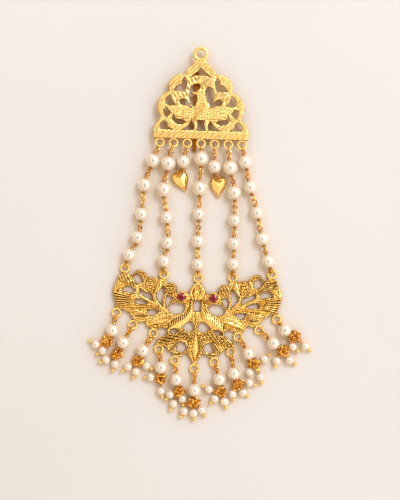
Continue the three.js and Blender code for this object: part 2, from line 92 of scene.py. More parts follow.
def linear(hex_colour: str) -> tuple[float, float, float, float]:
    """Turns an sRGB hex colour into linear red, green, blue and alpha.

    Args:
        hex_colour: Six hex digits, with or without a leading hash.

    Returns:
        The linear colour with an alpha of 1.
    """
    digits = hex_colour.lstrip("#")
    parts = [int(digits[i : i + 2], 16) / 255 for i in (0, 2, 4)]
    red, green, blue = (c / 12.92 if c <= 0.04045 else ((c + 0.055) / 1.055) ** 2.4 for c in parts)
    return red, green, blue, 1.0


def per_mm(size: float) -> float:
    """Gives the texture scale whose features are size millimetres apart."""
    return 1 / (size * MM)


def fill(tree: bpy.types.NodeTree, node: bpy.types.Node, inputs: dict) -> None:
    """Sets or links the sockets of a node.

    Args:
        tree: The node tree that the node is in.
        node: The node.
        inputs: Socket name or number to a value, or to the output socket to link from.
    """
    for socket, value in inputs.items():
        if isinstance(value, bpy.types.NodeSocket):
            tree.links.new(value, node.inputs[socket])
        else:
            node.inputs[socket].default_value = value


def add_node(
    tree: bpy.types.NodeTree, kind: str, inputs: dict | None = None, **settings: str | int,
) -> bpy.types.Node:
    """Adds one node with its settings, its socket values and its links.

    Args:
        tree: The node tree that gets the node.
        kind: The node's type name.
        inputs: Socket name or number to a value, or to the output socket to link from.
        **settings: Properties of the node itself.

    Returns:
        The new node.
    """
    node = tree.nodes.new(kind)
    for name, value in settings.items():
        setattr(node, name, value)
    fill(tree, node, inputs or {})
    return node


def unit(vector: Array) -> Array:
    """Gives a vector's direction."""
    return vector / max(float(np.linalg.norm(vector)), 1e-12)


def steady_axis(direction: Array) -> Array:
    """Gives an axis of the frame that isn't near a direction: up, or else x."""
    return UP if abs(direction[2]) < 0.9 else np.array([1.0, 0.0, 0.0])


def level(start: Array, end: Array) -> Array:
    """Gives the level direction from one place to another."""
    return unit(np.array([end[0] - start[0], end[1] - start[1], 0.0]))


def middle_of(node: str) -> tuple[Array, Array]:
    """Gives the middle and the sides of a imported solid's box, in millimetres."""
    low, high = (np.array(corner, float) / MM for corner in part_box(node))
    return (low + high) / 2, high - low


def smooth_line(rows: Rows, closed: bool = False, corner: float = 52.0, step: float = 0.3) -> Array:
    """Runs a smooth line through points and keeps the sharp corners among them.

    Args:
        rows: The points: u, v and any further columns, which are smoothed alike.
        closed: Whether the last point joins the first.
        corner: The turn, in degrees, from which a point stays a corner.
        step: The spacing of the new points in millimetres.

    Returns:
        The points of the smooth line, one row each.
    """
    points = np.asarray(rows, float)
    count = len(points)
    ahead = np.roll(points, -1, axis=0) - points
    lengths = np.maximum(np.hypot(ahead[:, 0], ahead[:, 1]), 1e-9)

    def slope(i: int) -> Array | None:
        """Gives the line's slope at a point.

        Args:
            i: The point's number.

        Returns:
            The slope, or None at an end or a corner.
        """
        if not closed and i in (0, count - 1):
            return None
        before, after = ahead[i - 1], ahead[i]
        cosine = float(before[:2] @ after[:2]) / (lengths[i - 1] * lengths[i])
        if math.degrees(math.acos(max(-1.0, min(1.0, cosine)))) > corner:
            return None
        return (before + after) / (lengths[i - 1] + lengths[i])

    slopes = [slope(i) for i in range(count)]
    line = []
    for i in range(count if closed else count - 1):
        j = (i + 1) % count
        span = lengths[i]
        chord = ahead[i] / span
        leave = (slopes[i] if slopes[i] is not None else chord) * span
        arrive = (slopes[j] if slopes[j] is not None else chord) * span
        pieces = max(1, int(round(span / step)))
        for k in range(pieces):
            t = k / pieces
            line.append(
                (2 * t**3 - 3 * t**2 + 1) * points[i] + (t**3 - 2 * t**2 + t) * leave
                + (3 * t**2 - 2 * t**3) * points[j] + (t**3 - t**2) * arrive
            )
    if not closed:
        line.append(points[-1])
    return np.array(line)


# ---- meshes


class Shape:
    """The points and faces of one piece, gathered in millimetres."""

    def __init__(self) -> None:
        """Starts an empty shape."""
        self.points: list[Array] = []
        self.recess: list[Array] = []
        self.faces: list[Face] = []
        self.count = 0

    def add(
        self, points: Array, faces: Array | list[Face], recess: Array | None = None,
    ) -> None:
        """Adds points and the faces between them.

        Args:
            points: One row for each point.
            faces: Rows of indices into points.
            recess: How dark each point is drawn, from 0 to 1: on the plates, painted shade that grows with
                how deep the point lies in the relief; on the wires, a darker tone.
        """
        rows = faces.tolist() if isinstance(faces, np.ndarray) else faces
        self.faces += [tuple(i + self.count for i in face) for face in rows]
        self.points.append(np.asarray(points, float))
        self.recess.append(np.zeros(len(points)) if recess is None else recess)
        self.count += len(points)

    def sweep(self, rings: Array, closed: bool = False, recess: float = 0.0) -> None:
        """Joins a row of rings of points into a skin and closes its ends.

        Args:
            rings: Ring by ring, point by point, x, y and z.
            closed: Whether the last ring joins the first, as on a torus.
            recess: How much darker the whole skin is drawn, from 0 to 1.
        """
        steps, sides = rings.shape[:2]
        rows = np.arange(steps if closed else steps - 1)[:, None]
        across = np.arange(sides)[None, :]
        here, there = rows * sides, ((rows + 1) % steps) * sides
        beside = (across + 1) % sides
        quads = np.stack([here + across, there + across, there + beside, here + beside], -1)
        faces = quads.reshape(-1, 4).tolist()
        points = rings.reshape(-1, 3)
        if not closed:
            first, last = len(points), len(points) + 1
            points = np.vstack([points, rings[0].mean(0), rings[-1].mean(0)])
            top = (steps - 1) * sides
            for k in range(sides):
                faces.append([first, k, (k + 1) % sides])
                faces.append([last, top + (k + 1) % sides, top + k])
        self.add(points, faces, np.full(len(points), recess))

    def tube(
        self, line: Array, radius: float | Array, sides: int = 8, closed: bool = False,
        recess: float = 0.0,
    ) -> None:
        """Adds round wire along a line.

        Args:
            line: The wire's middle, one row for each point.
            radius: The wire's radius, or one radius for each point.
            sides: The sides of its section.
            closed: Whether the wire is a ring.
            recess: How much darker the wire is drawn, from 0 to 1.
        """
        line = np.asarray(line, float)
        if closed:
            tangents = np.roll(line, -1, 0) - np.roll(line, 1, 0)
        else:
            tangents = np.gradient(line, axis=0)
        tangents /= np.maximum(np.linalg.norm(tangents, axis=1, keepdims=True), 1e-12)
        side = unit(np.cross(tangents[0], steady_axis(tangents[0])))
        radii = np.broadcast_to(np.asarray(radius, float), (len(line),))
        angles = np.arange(sides) * 2 * math.pi / sides
        rings = []
        for point, tangent, size in zip(line, tangents, radii):
            side = unit(side - tangent * float(side @ tangent))
            other = np.cross(tangent, side)
            spokes = np.outer(np.cos(angles), side) + np.outer(np.sin(angles), other)
            rings.append(point + size * spokes)
        self.sweep(np.array(rings), closed, recess)

    def ring(
        self, centre: Array, normal: Array, way: Array, long: float, wide: float,
        wire: float, steps: int = 22, sides: int = 8, beads: int = 0, recess: float = 0.0,
    ) -> None:
        """Adds an oval ring of wire.

        Args:
            centre: The ring's middle.
            normal: The direction across the ring's plane.
            way: The direction of the oval's long axis.
            long: Half the length of the wire's middle line.
            wide: Half its width.
            wire: The wire's radius.
            steps: Points round the ring.
            sides: The sides of the wire's section.
            beads: The beads that a beaded wire shows round the ring.
            recess: How much darker the wire is drawn, from 0 to 1.
        """
        normal = unit(normal)
        way = unit(way - normal * float(way @ normal))
        other = np.cross(normal, way)
        angles = np.arange(steps) * 2 * math.pi / steps
        line = centre + np.outer(np.cos(angles) * long, way) + np.outer(np.sin(angles) * wide, other)
        beaded = BEAD_NECK + BEAD_SWELL * np.abs(np.cos(beads * angles / 2))
        radius = wire * beaded if beads else wire
        self.tube(line, radius, sides, closed=True, recess=recess)

    def lathe(self, profile: Rows, centre: Array, axis: Array, sides: int = 16) -> None:
        """Adds a turned form.

        Args:
            profile: Radius and height of each turn, from one end to the other.
            centre: The place of height 0.
            axis: The direction of the turning axis.
            sides: The points round it.
        """
        axis = unit(axis)
        side = unit(np.cross(steady_axis(axis), axis))
        other = np.cross(axis, side)
        angles = np.arange(sides) * 2 * math.pi / sides
        round_it = np.outer(np.cos(angles), side) + np.outer(np.sin(angles), other)
        self.sweep(np.array([centre + axis * high + round_it * radius for radius, high in profile]))

    def ball(self, centre: Array, radius: float, sides: int = 16, axis: Array = UP) -> None:
        """Adds a ball.

        Args:
            centre: Its middle.
            radius: Its radius.
            sides: The points round it, twice as many as its rows.
            axis: The direction of its poles.
        """
        rows = sides // 2
        turns = [math.pi * (k + 0.25) / (rows + 0.5) for k in range(rows + 1)]
        profile = [(radius * math.sin(a), -radius * math.cos(a)) for a in turns]
        self.lathe(profile, centre, axis, sides)

    def build(self, name: str, smooth: bool = True, sharp: float = 42.0) -> bpy.types.Object:
        """Turns what was gathered into an object, in metres.

        Args:
            name: The object's name.
            smooth: Whether faces are shaded as one smooth skin.
            sharp: The angle in degrees from which an edge stays sharp.

        Returns:
            The object, linked to the scene.
        """
        mesh = bpy.data.meshes.new(name)
        mesh.from_pydata(np.vstack(self.points) * MM, [], self.faces)
        depth = mesh.attributes.new("recess", "FLOAT", "POINT")
        depth.data.foreach_set("value", np.concatenate(self.recess).astype(np.float32))
        mesh.polygons.foreach_set("use_smooth", [smooth] * len(mesh.polygons))
        if smooth:
            mesh.set_sharp_from_angle(angle=math.radians(sharp))
        mesh.validate()
        mesh.update()
        piece = bpy.data.objects.new(name, mesh)
        bpy.context.scene.collection.objects.link(piece)
        return piece


# ---- finishes


def start_material(name: str) -> tuple[Material, bpy.types.NodeTree]:
    """Starts a material that is made of nodes.

    Args:
        name: The material's name.

    Returns:
        The material and its node tree.
    """
    material = bpy.data.materials.new(name)
    material.use_nodes = True
    return material, material.node_tree


@dataclass(frozen=True)
class GoldFinish:
    """Gold plate on cast or drawn brass, with painted shade in its recesses."""

    name: str
    bright: str  # the plated face
    deep: str  # the painted shade in cuts and corners, and the wires' darker tone
    rough: Pair  # polished places and dull places
    grit: float  # millimetres between the marks of the surface
    relief: float  # depth of those marks in millimetres
    patch: float = 4.0  # millimetres across a duller or brighter patch
    patch_tone: float = 0.35  # how far a patch shifts the tone
    clean: float = 0.12  # the patch tone and painted shade up to which the plate keeps its bright tone
    patch_range: Pair = (0.3, 0.7)

    def material(self) -> Material:
        """Makes the plated metal.

        Returns:
            The material, with its tone, its gloss and its fine marks.
        """
        metal, tree = start_material(self.name)
        place = add_node(tree, "ShaderNodeTexCoord").outputs["Object"]
        recess = add_node(tree, "ShaderNodeAttribute", attribute_name="recess").outputs["Fac"]
        patches = add_node(
            tree, "ShaderNodeTexNoise", {"Vector": place, "Scale": per_mm(self.patch), "Detail": 3.0},
        ).outputs["Fac"]
        marks = add_node(
            tree, "ShaderNodeTexNoise", {"Vector": place, "Scale": per_mm(self.grit), "Detail": 4.0},
        ).outputs["Fac"]
        # Painted shade: the recess attribute darkens the plates' hollows, walls, sawn edges and backs, and
        # the random patches add their own duller tone. On the wires the same attribute gives a darker
        # tone.
        dulled = add_node(
            tree, "ShaderNodeMath", {0: patches, 1: self.patch_tone, 2: recess}, operation="MULTIPLY_ADD",
        ).outputs[0]
        amount = add_node(
            tree, "ShaderNodeMapRange", {"Value": dulled, "From Min": self.clean, "From Max": 1.0},
        ).outputs[0]
        tone = add_node(
            tree, "ShaderNodeMix", {"Factor": amount, 6: linear(self.bright), 7: linear(self.deep)},
            data_type="RGBA",
        ).outputs[2]
        (low, high), (polished, dull) = self.patch_range, self.rough
        gloss = add_node(
            tree, "ShaderNodeMapRange",
            {"Value": patches, "From Min": low, "From Max": high, "To Min": polished, "To Max": dull},
        ).outputs[0]
        bump = add_node(
            tree, "ShaderNodeBump", {"Height": marks, "Strength": 1.0, "Distance": self.relief * MM},
        ).outputs[0]
        sockets = {"Base Color": tone, "Roughness": gloss, "Normal": bump, "Metallic": 1.0}
        fill(tree, tree.nodes["Principled BSDF"], sockets)
        return metal


@dataclass(frozen=True)
class PearlFinish:
    """Pearl essence over a glass bead: a soft milky body under a clear, slightly wavy gloss."""

    name: str = "pearl_essence_on_glass"
    body: str = "C6CAD2"
    cloud: str = "D0D1D0"
    drift: float = 2.6  # millimetres across a cloud of tone
    nacre_ior: float = 2.5  # fish-scale platelets, stacked many deep
    stack_gain: float = 1.0  # the stack returns twice the light of one surface
    gloss: Pair = (0.05, 0.14)
    lacquer_ior: float = 1.7
    lacquer_rough: float = 0.05
    glow_tint: str = "FFEBC4"  # warm light that the platelets scatter towards the edge
    glow: float = 1.0
    glow_rough: float = 0.55
    ripple: float = 0.9  # millimetres between the waves of the dipped coats
    ripple_depth: float = 0.02
    ripple_strength: float = 0.35

    def material(self) -> Material:
        """Makes the pearl.

        Returns:
            The material, with its clouds, its gloss, its glow and its dipped ripple.
        """
        pearl, tree = start_material(self.name)
        place = add_node(tree, "ShaderNodeTexCoord").outputs["Object"]
        clouds = add_node(
            tree, "ShaderNodeTexNoise", {"Vector": place, "Scale": per_mm(self.drift), "Detail": 2.0},
        ).outputs["Fac"]
        tone = add_node(
            tree, "ShaderNodeMix", {"Factor": clouds, 6: linear(self.body), 7: linear(self.cloud)},
            data_type="RGBA",
        ).outputs[2]
        wet, dry = self.gloss
        gloss = add_node(
            tree, "ShaderNodeMapRange", {"Value": clouds, "To Min": wet, "To Max": dry},
        ).outputs[0]
        waves = add_node(
            tree, "ShaderNodeTexNoise", {"Vector": place, "Scale": per_mm(self.ripple), "Detail": 1.0},
        ).outputs["Fac"]
        bump = add_node(tree, "ShaderNodeBump", {
            "Height": waves, "Strength": self.ripple_strength, "Distance": self.ripple_depth * MM,
        }).outputs[0]
        fill(tree, tree.nodes["Principled BSDF"], {
            "Base Color": tone,
            "Roughness": gloss,
            "Normal": bump,
            "IOR": self.nacre_ior,
            "Specular IOR Level": self.stack_gain,
            "Coat Weight": 1.0,
            "Coat Roughness": self.lacquer_rough,
            "Coat IOR": self.lacquer_ior,
            "Sheen Weight": self.glow,
            "Sheen Roughness": self.glow_rough,
            "Sheen Tint": linear(self.glow_tint),
        })
        return pearl


@dataclass(frozen=True)
class RubyFinish:
    """Cut red corundum: a deep glassy pink-red with clean bright facets."""

    name: str = "cut_ruby"
    colour: str = "A0083C"
    zone: str = "5E041E"
    zone_size: float = 1.2  # millimetres across a zone of colour
    ior: float = 1.77
    clearness: float = 0.15
    gloss: Pair = (0.03, 0.1)
    polish_depth: float = 0.01
    polish_strength: float = 0.1

    def material(self) -> Material:
        """Makes the stone.

        Returns:
            The material, with colour zones inside and glass outside.
        """
        stone, tree = start_material(self.name)
        place = add_node(tree, "ShaderNodeTexCoord").outputs["Object"]
        zones = add_node(
            tree, "ShaderNodeTexNoise", {"Vector": place, "Scale": per_mm(self.zone_size), "Detail": 2.0},
        ).outputs["Fac"]
        tone = add_node(
            tree, "ShaderNodeMix", {"Factor": zones, 6: linear(self.colour), 7: linear(self.zone)},
            data_type="RGBA",
        ).outputs[2]
        clean, dulled = self.gloss
        gloss = add_node(
            tree, "ShaderNodeMapRange", {"Value": zones, "To Min": clean, "To Max": dulled},
        ).outputs[0]
        bump = add_node(tree, "ShaderNodeBump", {
            "Height": zones, "Strength": self.polish_strength, "Distance": self.polish_depth * MM,
        }).outputs[0]
        fill(tree, tree.nodes["Principled BSDF"], {
            "Base Color": tone,
            "Roughness": gloss,
            "Normal": bump,
            "IOR": self.ior,
            "Transmission Weight": self.clearness,
        })
        return stone


@dataclass(frozen=True)
class PlasterFinish:
    """A painted plaster table top: pale, matt, faintly uneven, with painted warm bounce light and shade
    close to the gold.
    """

    name: str = "painted_plaster"
    light: str = "D2D9E4"
    shade: str = "CDD4DE"
    cloud_size: float = 60  # millimetres across a cloud of tone
    painted_bounce: str = "EDD4B0"  # painted warm bounce light and shade, where the ornament closes the table in
    bounce_reach: float = 9.0  # how far that painted light and shade reach, in millimetres
    bounce_samples: int = 8
    tooth: float = 1.6  # millimetres between the grains of the paint
    tooth_depth: float = 0.05
    tooth_strength: float = 0.3
    rough: float = 0.85

    def material(self) -> Material:
        """Makes the painted plaster.

        Returns:
            The material, with broad faint clouds, the gold's light and a fine tooth.
        """
        plaster, tree = start_material(self.name)
        place = add_node(tree, "ShaderNodeTexCoord").outputs["Object"]
        clouds = add_node(
            tree, "ShaderNodeTexNoise", {"Vector": place, "Scale": per_mm(self.cloud_size), "Detail": 3.0},
        ).outputs["Fac"]
        paint = add_node(
            tree, "ShaderNodeMix", {"Factor": clouds, 6: linear(self.light), 7: linear(self.shade)},
            data_type="RGBA",
        ).outputs[2]
        # Painted bounce light and shade: where the ornament closes the table in, the paint turns to the
        # warm bounce tone.
        openness = add_node(
            tree, "ShaderNodeAmbientOcclusion", {"Distance": self.bounce_reach * MM},
            samples=self.bounce_samples,
        ).outputs["AO"]
        tone = add_node(
            tree, "ShaderNodeMix", {"Factor": openness, 6: linear(self.painted_bounce), 7: paint},
            data_type="RGBA",
        ).outputs[2]
        grains = add_node(
            tree, "ShaderNodeTexNoise", {"Vector": place, "Scale": per_mm(self.tooth), "Detail": 5.0},
        ).outputs["Fac"]
        bump = add_node(tree, "ShaderNodeBump", {
            "Height": grains, "Strength": self.tooth_strength, "Distance": self.tooth_depth * MM,
        }).outputs[0]
        sockets = {"Base Color": tone, "Roughness": self.rough, "Normal": bump}
        fill(tree, tree.nodes["Principled BSDF"], sockets)
        return plaster


class Finishes:
    """The materials of the whole ornament, made once and shared."""

    def __init__(self) -> None:
        """Makes every material."""
        # Satin plate, tumbled after casting: pale, with broad soft reflections.
        self.satin = GoldFinish(
            "satin_gold_plate", bright="FFE498", deep="8A5818", rough=(0.3, 0.4), grit=0.35, relief=0.012,
        ).material()
        # Bright plate on a chased casting: deeper yellow, with crisp reflections.
        self.chased = GoldFinish(
            "chased_gold_plate", bright="FCDF8C", deep="824A0C", rough=(0.18, 0.28), grit=0.3, relief=0.01,
        ).material()
        # Polished sheet, pressed into facets: near a mirror.
        self.polished = GoldFinish(
            "polished_gold_plate", bright="FAD688", deep="B06A1C", rough=(0.14, 0.24), grit=0.5,
            relief=0.004,
        ).material()
        # Drawn wire with thin plating: redder, because the rings shadow one another.
        self.wire = GoldFinish(
            "drawn_gold_wire", bright="F4CE84", deep="A0641C", rough=(0.12, 0.24), grit=0.25,
            relief=0.006, patch=1.5,
        ).material()
        # The crowded rings of the drops, whose thin plating looks more orange.
        self.knots = GoldFinish(
            "drawn_brass_wire", bright="F8C664", deep="A0621A", rough=(0.12, 0.24), grit=0.25,
            relief=0.006, patch=1.5,
        ).material()
        # The hook is drawn in a darker amber tone than the plates.
        self.amber = GoldFinish(
            "amber_brass_wire", bright="BE7620", deep="84490C", rough=(0.2, 0.34), grit=0.4,
            relief=0.008,
        ).material()
        # Glass beads dipped in pearl essence: milky, with a warm glow at the edge and a wet gloss.
        self.pearl = PearlFinish().material()
        # Cut stones: dark red glass with small white glints.
        self.ruby = RubyFinish().material()
        # Painted plaster: a matt ground that takes soft shadows.
        self.plaster = PlasterFinish().material()


class Slot(Enum):
    """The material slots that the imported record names."""

    GOLD = "gold"
    FINE_GOLD = "fine_gold"
    PEARL = "pearl"
    RUBY = "ruby"


def dress(piece: bpy.types.Object, material: Material, slot: Slot, *nodes: str) -> None:
    """Gives a piece its material, its body and the solids that it stands for.

    Args:
        piece: The finished mesh object.
        material: Its material.
        slot: The record's slot for that material; not used.
        *nodes: The CAD nodes that the piece replaces.
    """
    piece.data.materials.append(material)
    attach(piece, BODY)
    if nodes:
        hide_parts(*nodes)
    log.info("%s: %d faces", piece.name, len(piece.data.polygons))


# ---- cast relief


class Profile(Enum):
    """The section of a raised band, from its line to its edge."""

    ROUND = "round"
    RIDGE = "ridge"
    FLAT = "flat"


RIDGE, FLAT = Profile.RIDGE, Profile.FLAT


@dataclass(frozen=True)
class Cuts:
    """Chased cuts across a band."""

    pitch: float  # millimetres between cuts
    depth: float
    slant: float = 0.0  # how far a cut leans along the band for each millimetre across
    share: float = 0.6  # the part of the pitch that a cut takes up
    side: int = 0  # 1 keeps to the left of the line, -1 to the right, 0 cuts both
    heading: float | None = None  # degrees: straight cuts that all run this way
    vee: bool = False  # two flat faces to a cut instead of a hollow


@dataclass(frozen=True)
class Band:
    """One raised part of a relief along a line, in the plate's millimetres."""

    rows: Rows  # u, v and half width at each point
    top: float  # height of its crest over the plate's back
    profile: Profile = Profile.ROUND
    cuts: Cuts | None = None
    grain: float = 0.0  # depth of its granulation

    SHOULDER = 0.35  # the part of a flat band's half width where it falls away
    SHOULDER_CURVE = 0.6
    CUT_FADE = 4.0  # how fast a cut runs out towards the edge, over the half width
    SIDE_FADE = 0.3  # millimetres in which a cut on one side runs out at the line
    CORNER = 75.0  # degrees of turn that stay a corner in the band's line
    STEP = 0.45  # millimetres between the points of that line

    def mirrored(self) -> Band:
        """Gives the same band on the plate's other side.

        Returns:
            The mirrored band, with its cuts mirrored too.
        """
        rows = tuple((-u, v, half) for u, v, half in self.rows)
        cuts = self.cuts and replace(self.cuts, slant=-self.cuts.slant, side=-self.cuts.side)
        if cuts and cuts.heading is not None:
            cuts = replace(cuts, heading=180 - cuts.heading)
        return replace(self, rows=rows, cuts=cuts)

    def section(self, share: Array) -> Array:
        """Gives the height of the section.

        Args:
            share: How far from the line each place is, over the half width.

        Returns:
            The height, from 1 on the line to 0 at the edge.
        """
        if self.profile is Profile.ROUND:
            return np.sqrt(np.clip(1 - share**2, 0, 1))
        if self.profile is RIDGE:
            return 1 - share
        return np.clip((1 - share) / self.SHOULDER, 0, 1) ** self.SHOULDER_CURVE

    def raise_over(
        self, u: Array, v: Array, grains: Array, low: float,
    ) -> tuple[Array, Array]:
        """Works out the band's surface over a set of places.

        Args:
            u: The places' first coordinates.
            v: Their second coordinates.
            grains: The granulation at those places, from 0 to 1.
            low: The height of the ground that the band rises from.

        Returns:
            The band's plain height, or minus infinity where it doesn't reach, and what its cuts and
            grains add to that height.
        """
        line = smooth_line(self.rows, corner=self.CORNER, step=self.STEP)
        best = np.full(u.shape, np.inf)
        along, across, half = np.zeros(u.shape), np.zeros(u.shape), np.ones(u.shape)
        run = 0.0
        for a, b in zip(line[:-1], line[1:]):
            du, dv = b[0] - a[0], b[1] - a[1]
            length = math.hypot(du, dv)
            if length < 1e-9:
                continue
            t = np.clip(((u - a[0]) * du + (v - a[1]) * dv) / length**2, 0, 1)
            off_u, off_v = u - a[0] - t * du, v - a[1] - t * dv
            gap = np.hypot(off_u, off_v)
            near = gap < best
            best = np.where(near, gap, best)
            along = np.where(near, run + t * length, along)
            across = np.where(near, np.where(du * off_v - dv * off_u < 0, -gap, gap), across)
            half = np.where(near, a[2] + t * (b[2] - a[2]), half)
            run += length
        share = best / np.maximum(half, 1e-6)
        rise = self.section(np.minimum(share, 1))
        height = low + (self.top - low) * rise
        detail = self.grain * grains
        if self.cuts:
            fade = np.clip(self.CUT_FADE * (1 - share), 0, 1)
            detail = detail - self.groove(u, v, along, across) * fade
        return np.where(share < 1, height, -np.inf), detail

    def groove(self, u: Array, v: Array, along: Array, across: Array) -> Array:
        """Works out the depth of the cuts.

        Args:
            u: The places' first coordinates.
            v: Their second coordinates.
            along: How far along the band's line they lie.
            across: How far to its left they lie.

        Returns:
            The depth of metal cut away at each place.
        """
        cuts = self.cuts
        if cuts.heading is not None:
            turn = math.radians(cuts.heading)
            phase = (v * math.cos(turn) - u * math.sin(turn)) / cuts.pitch
        else:
            phase = (along + cuts.slant * across) / cuts.pitch
        off = np.abs(2 * (phase - np.floor(phase)) - 1) / cuts.share
        depth = cuts.depth * np.clip(1 - (off if cuts.vee else off**2), 0, 1)
        if cuts.side:
            depth = depth * np.clip(across * cuts.side / self.SIDE_FADE, 0, 1)
        return depth


def boss(u: float, v: float, radius: float, top: float, grain: float = 0.0) -> Band:
    """Gives a round raised boss, as a very short band."""
    return Band(((u - 0.02, v, radius), (u + 0.02, v, radius)), top, grain=grain)


def both_sides(bands: Sequence[Band]) -> list[Band]:
    """Gives a half plate's bands with their mirror images."""
    return [*bands, *(band.mirrored() for band in bands)]


def inside_distance(u: Array, v: Array, loop: Array) -> Array:
    """Measures how far places lie inside a closed outline.

    Args:
        u: The places' first coordinates.
        v: Their second coordinates.
        loop: The outline's points.

    Returns:
        The distance to the outline: positive inside, negative outside.
    """
    nearest = np.full(u.shape, np.inf)
    inside = np.zeros(u.shape, bool)
    for a, b in zip(loop, np.roll(loop, -1, axis=0)):
        du, dv = b[0] - a[0], b[1] - a[1]
        t = np.clip(((u - a[0]) * du + (v - a[1]) * dv) / max(du * du + dv * dv, 1e-12), 0, 1)
        nearest = np.minimum(nearest, (u - a[0] - t * du) ** 2 + (v - a[1] - t * dv) ** 2)
        if dv:
            crosses = ((a[1] > v) != (b[1] > v)) & (u < a[0] + (v - a[1]) * du / dv)
            inside ^= crosses
    return np.sqrt(nearest) * np.where(inside, 1, -1)


def closed_loops(follows: dict[int, int]) -> list[list[int]]:
    """Sorts the edges of a rim into closed loops.

    Args:
        follows: Each point of the rim to the point after it.

    Returns:
        The points of each loop in order.
    """
    loops, left = [], set(follows)
    while left:
        start = left.pop()
        loop, here = [start], follows[start]
        while here != start:
            left.discard(here)
            loop.append(here)
            here = follows[here]
        loops.append(loop)
    return loops


def cap(u: Array, v: Array, loops: list[list[int]]) -> list[Face]:
    """Fills an outline with holes, facing down.

    Args:
        u: The rim points' first coordinates.
        v: Their second coordinates.
        loops: The points of the outline and of each hole.

    Returns:
        The triangles.
    """
    order = [k for loop in loops for k in loop]
    faces = []
    for triangle in tessellate_polygon([[Vector((u[k], v[k], 0)) for k in loop] for loop in loops]):
        a, b, c = (order[corner] for corner in triangle)
        turn = (u[b] - u[a]) * (v[c] - v[a]) - (v[b] - v[a]) * (u[c] - u[a])
        if abs(turn) > 1e-9:
            faces.append((a, c, b) if turn > 0 else (a, b, c))
    return faces


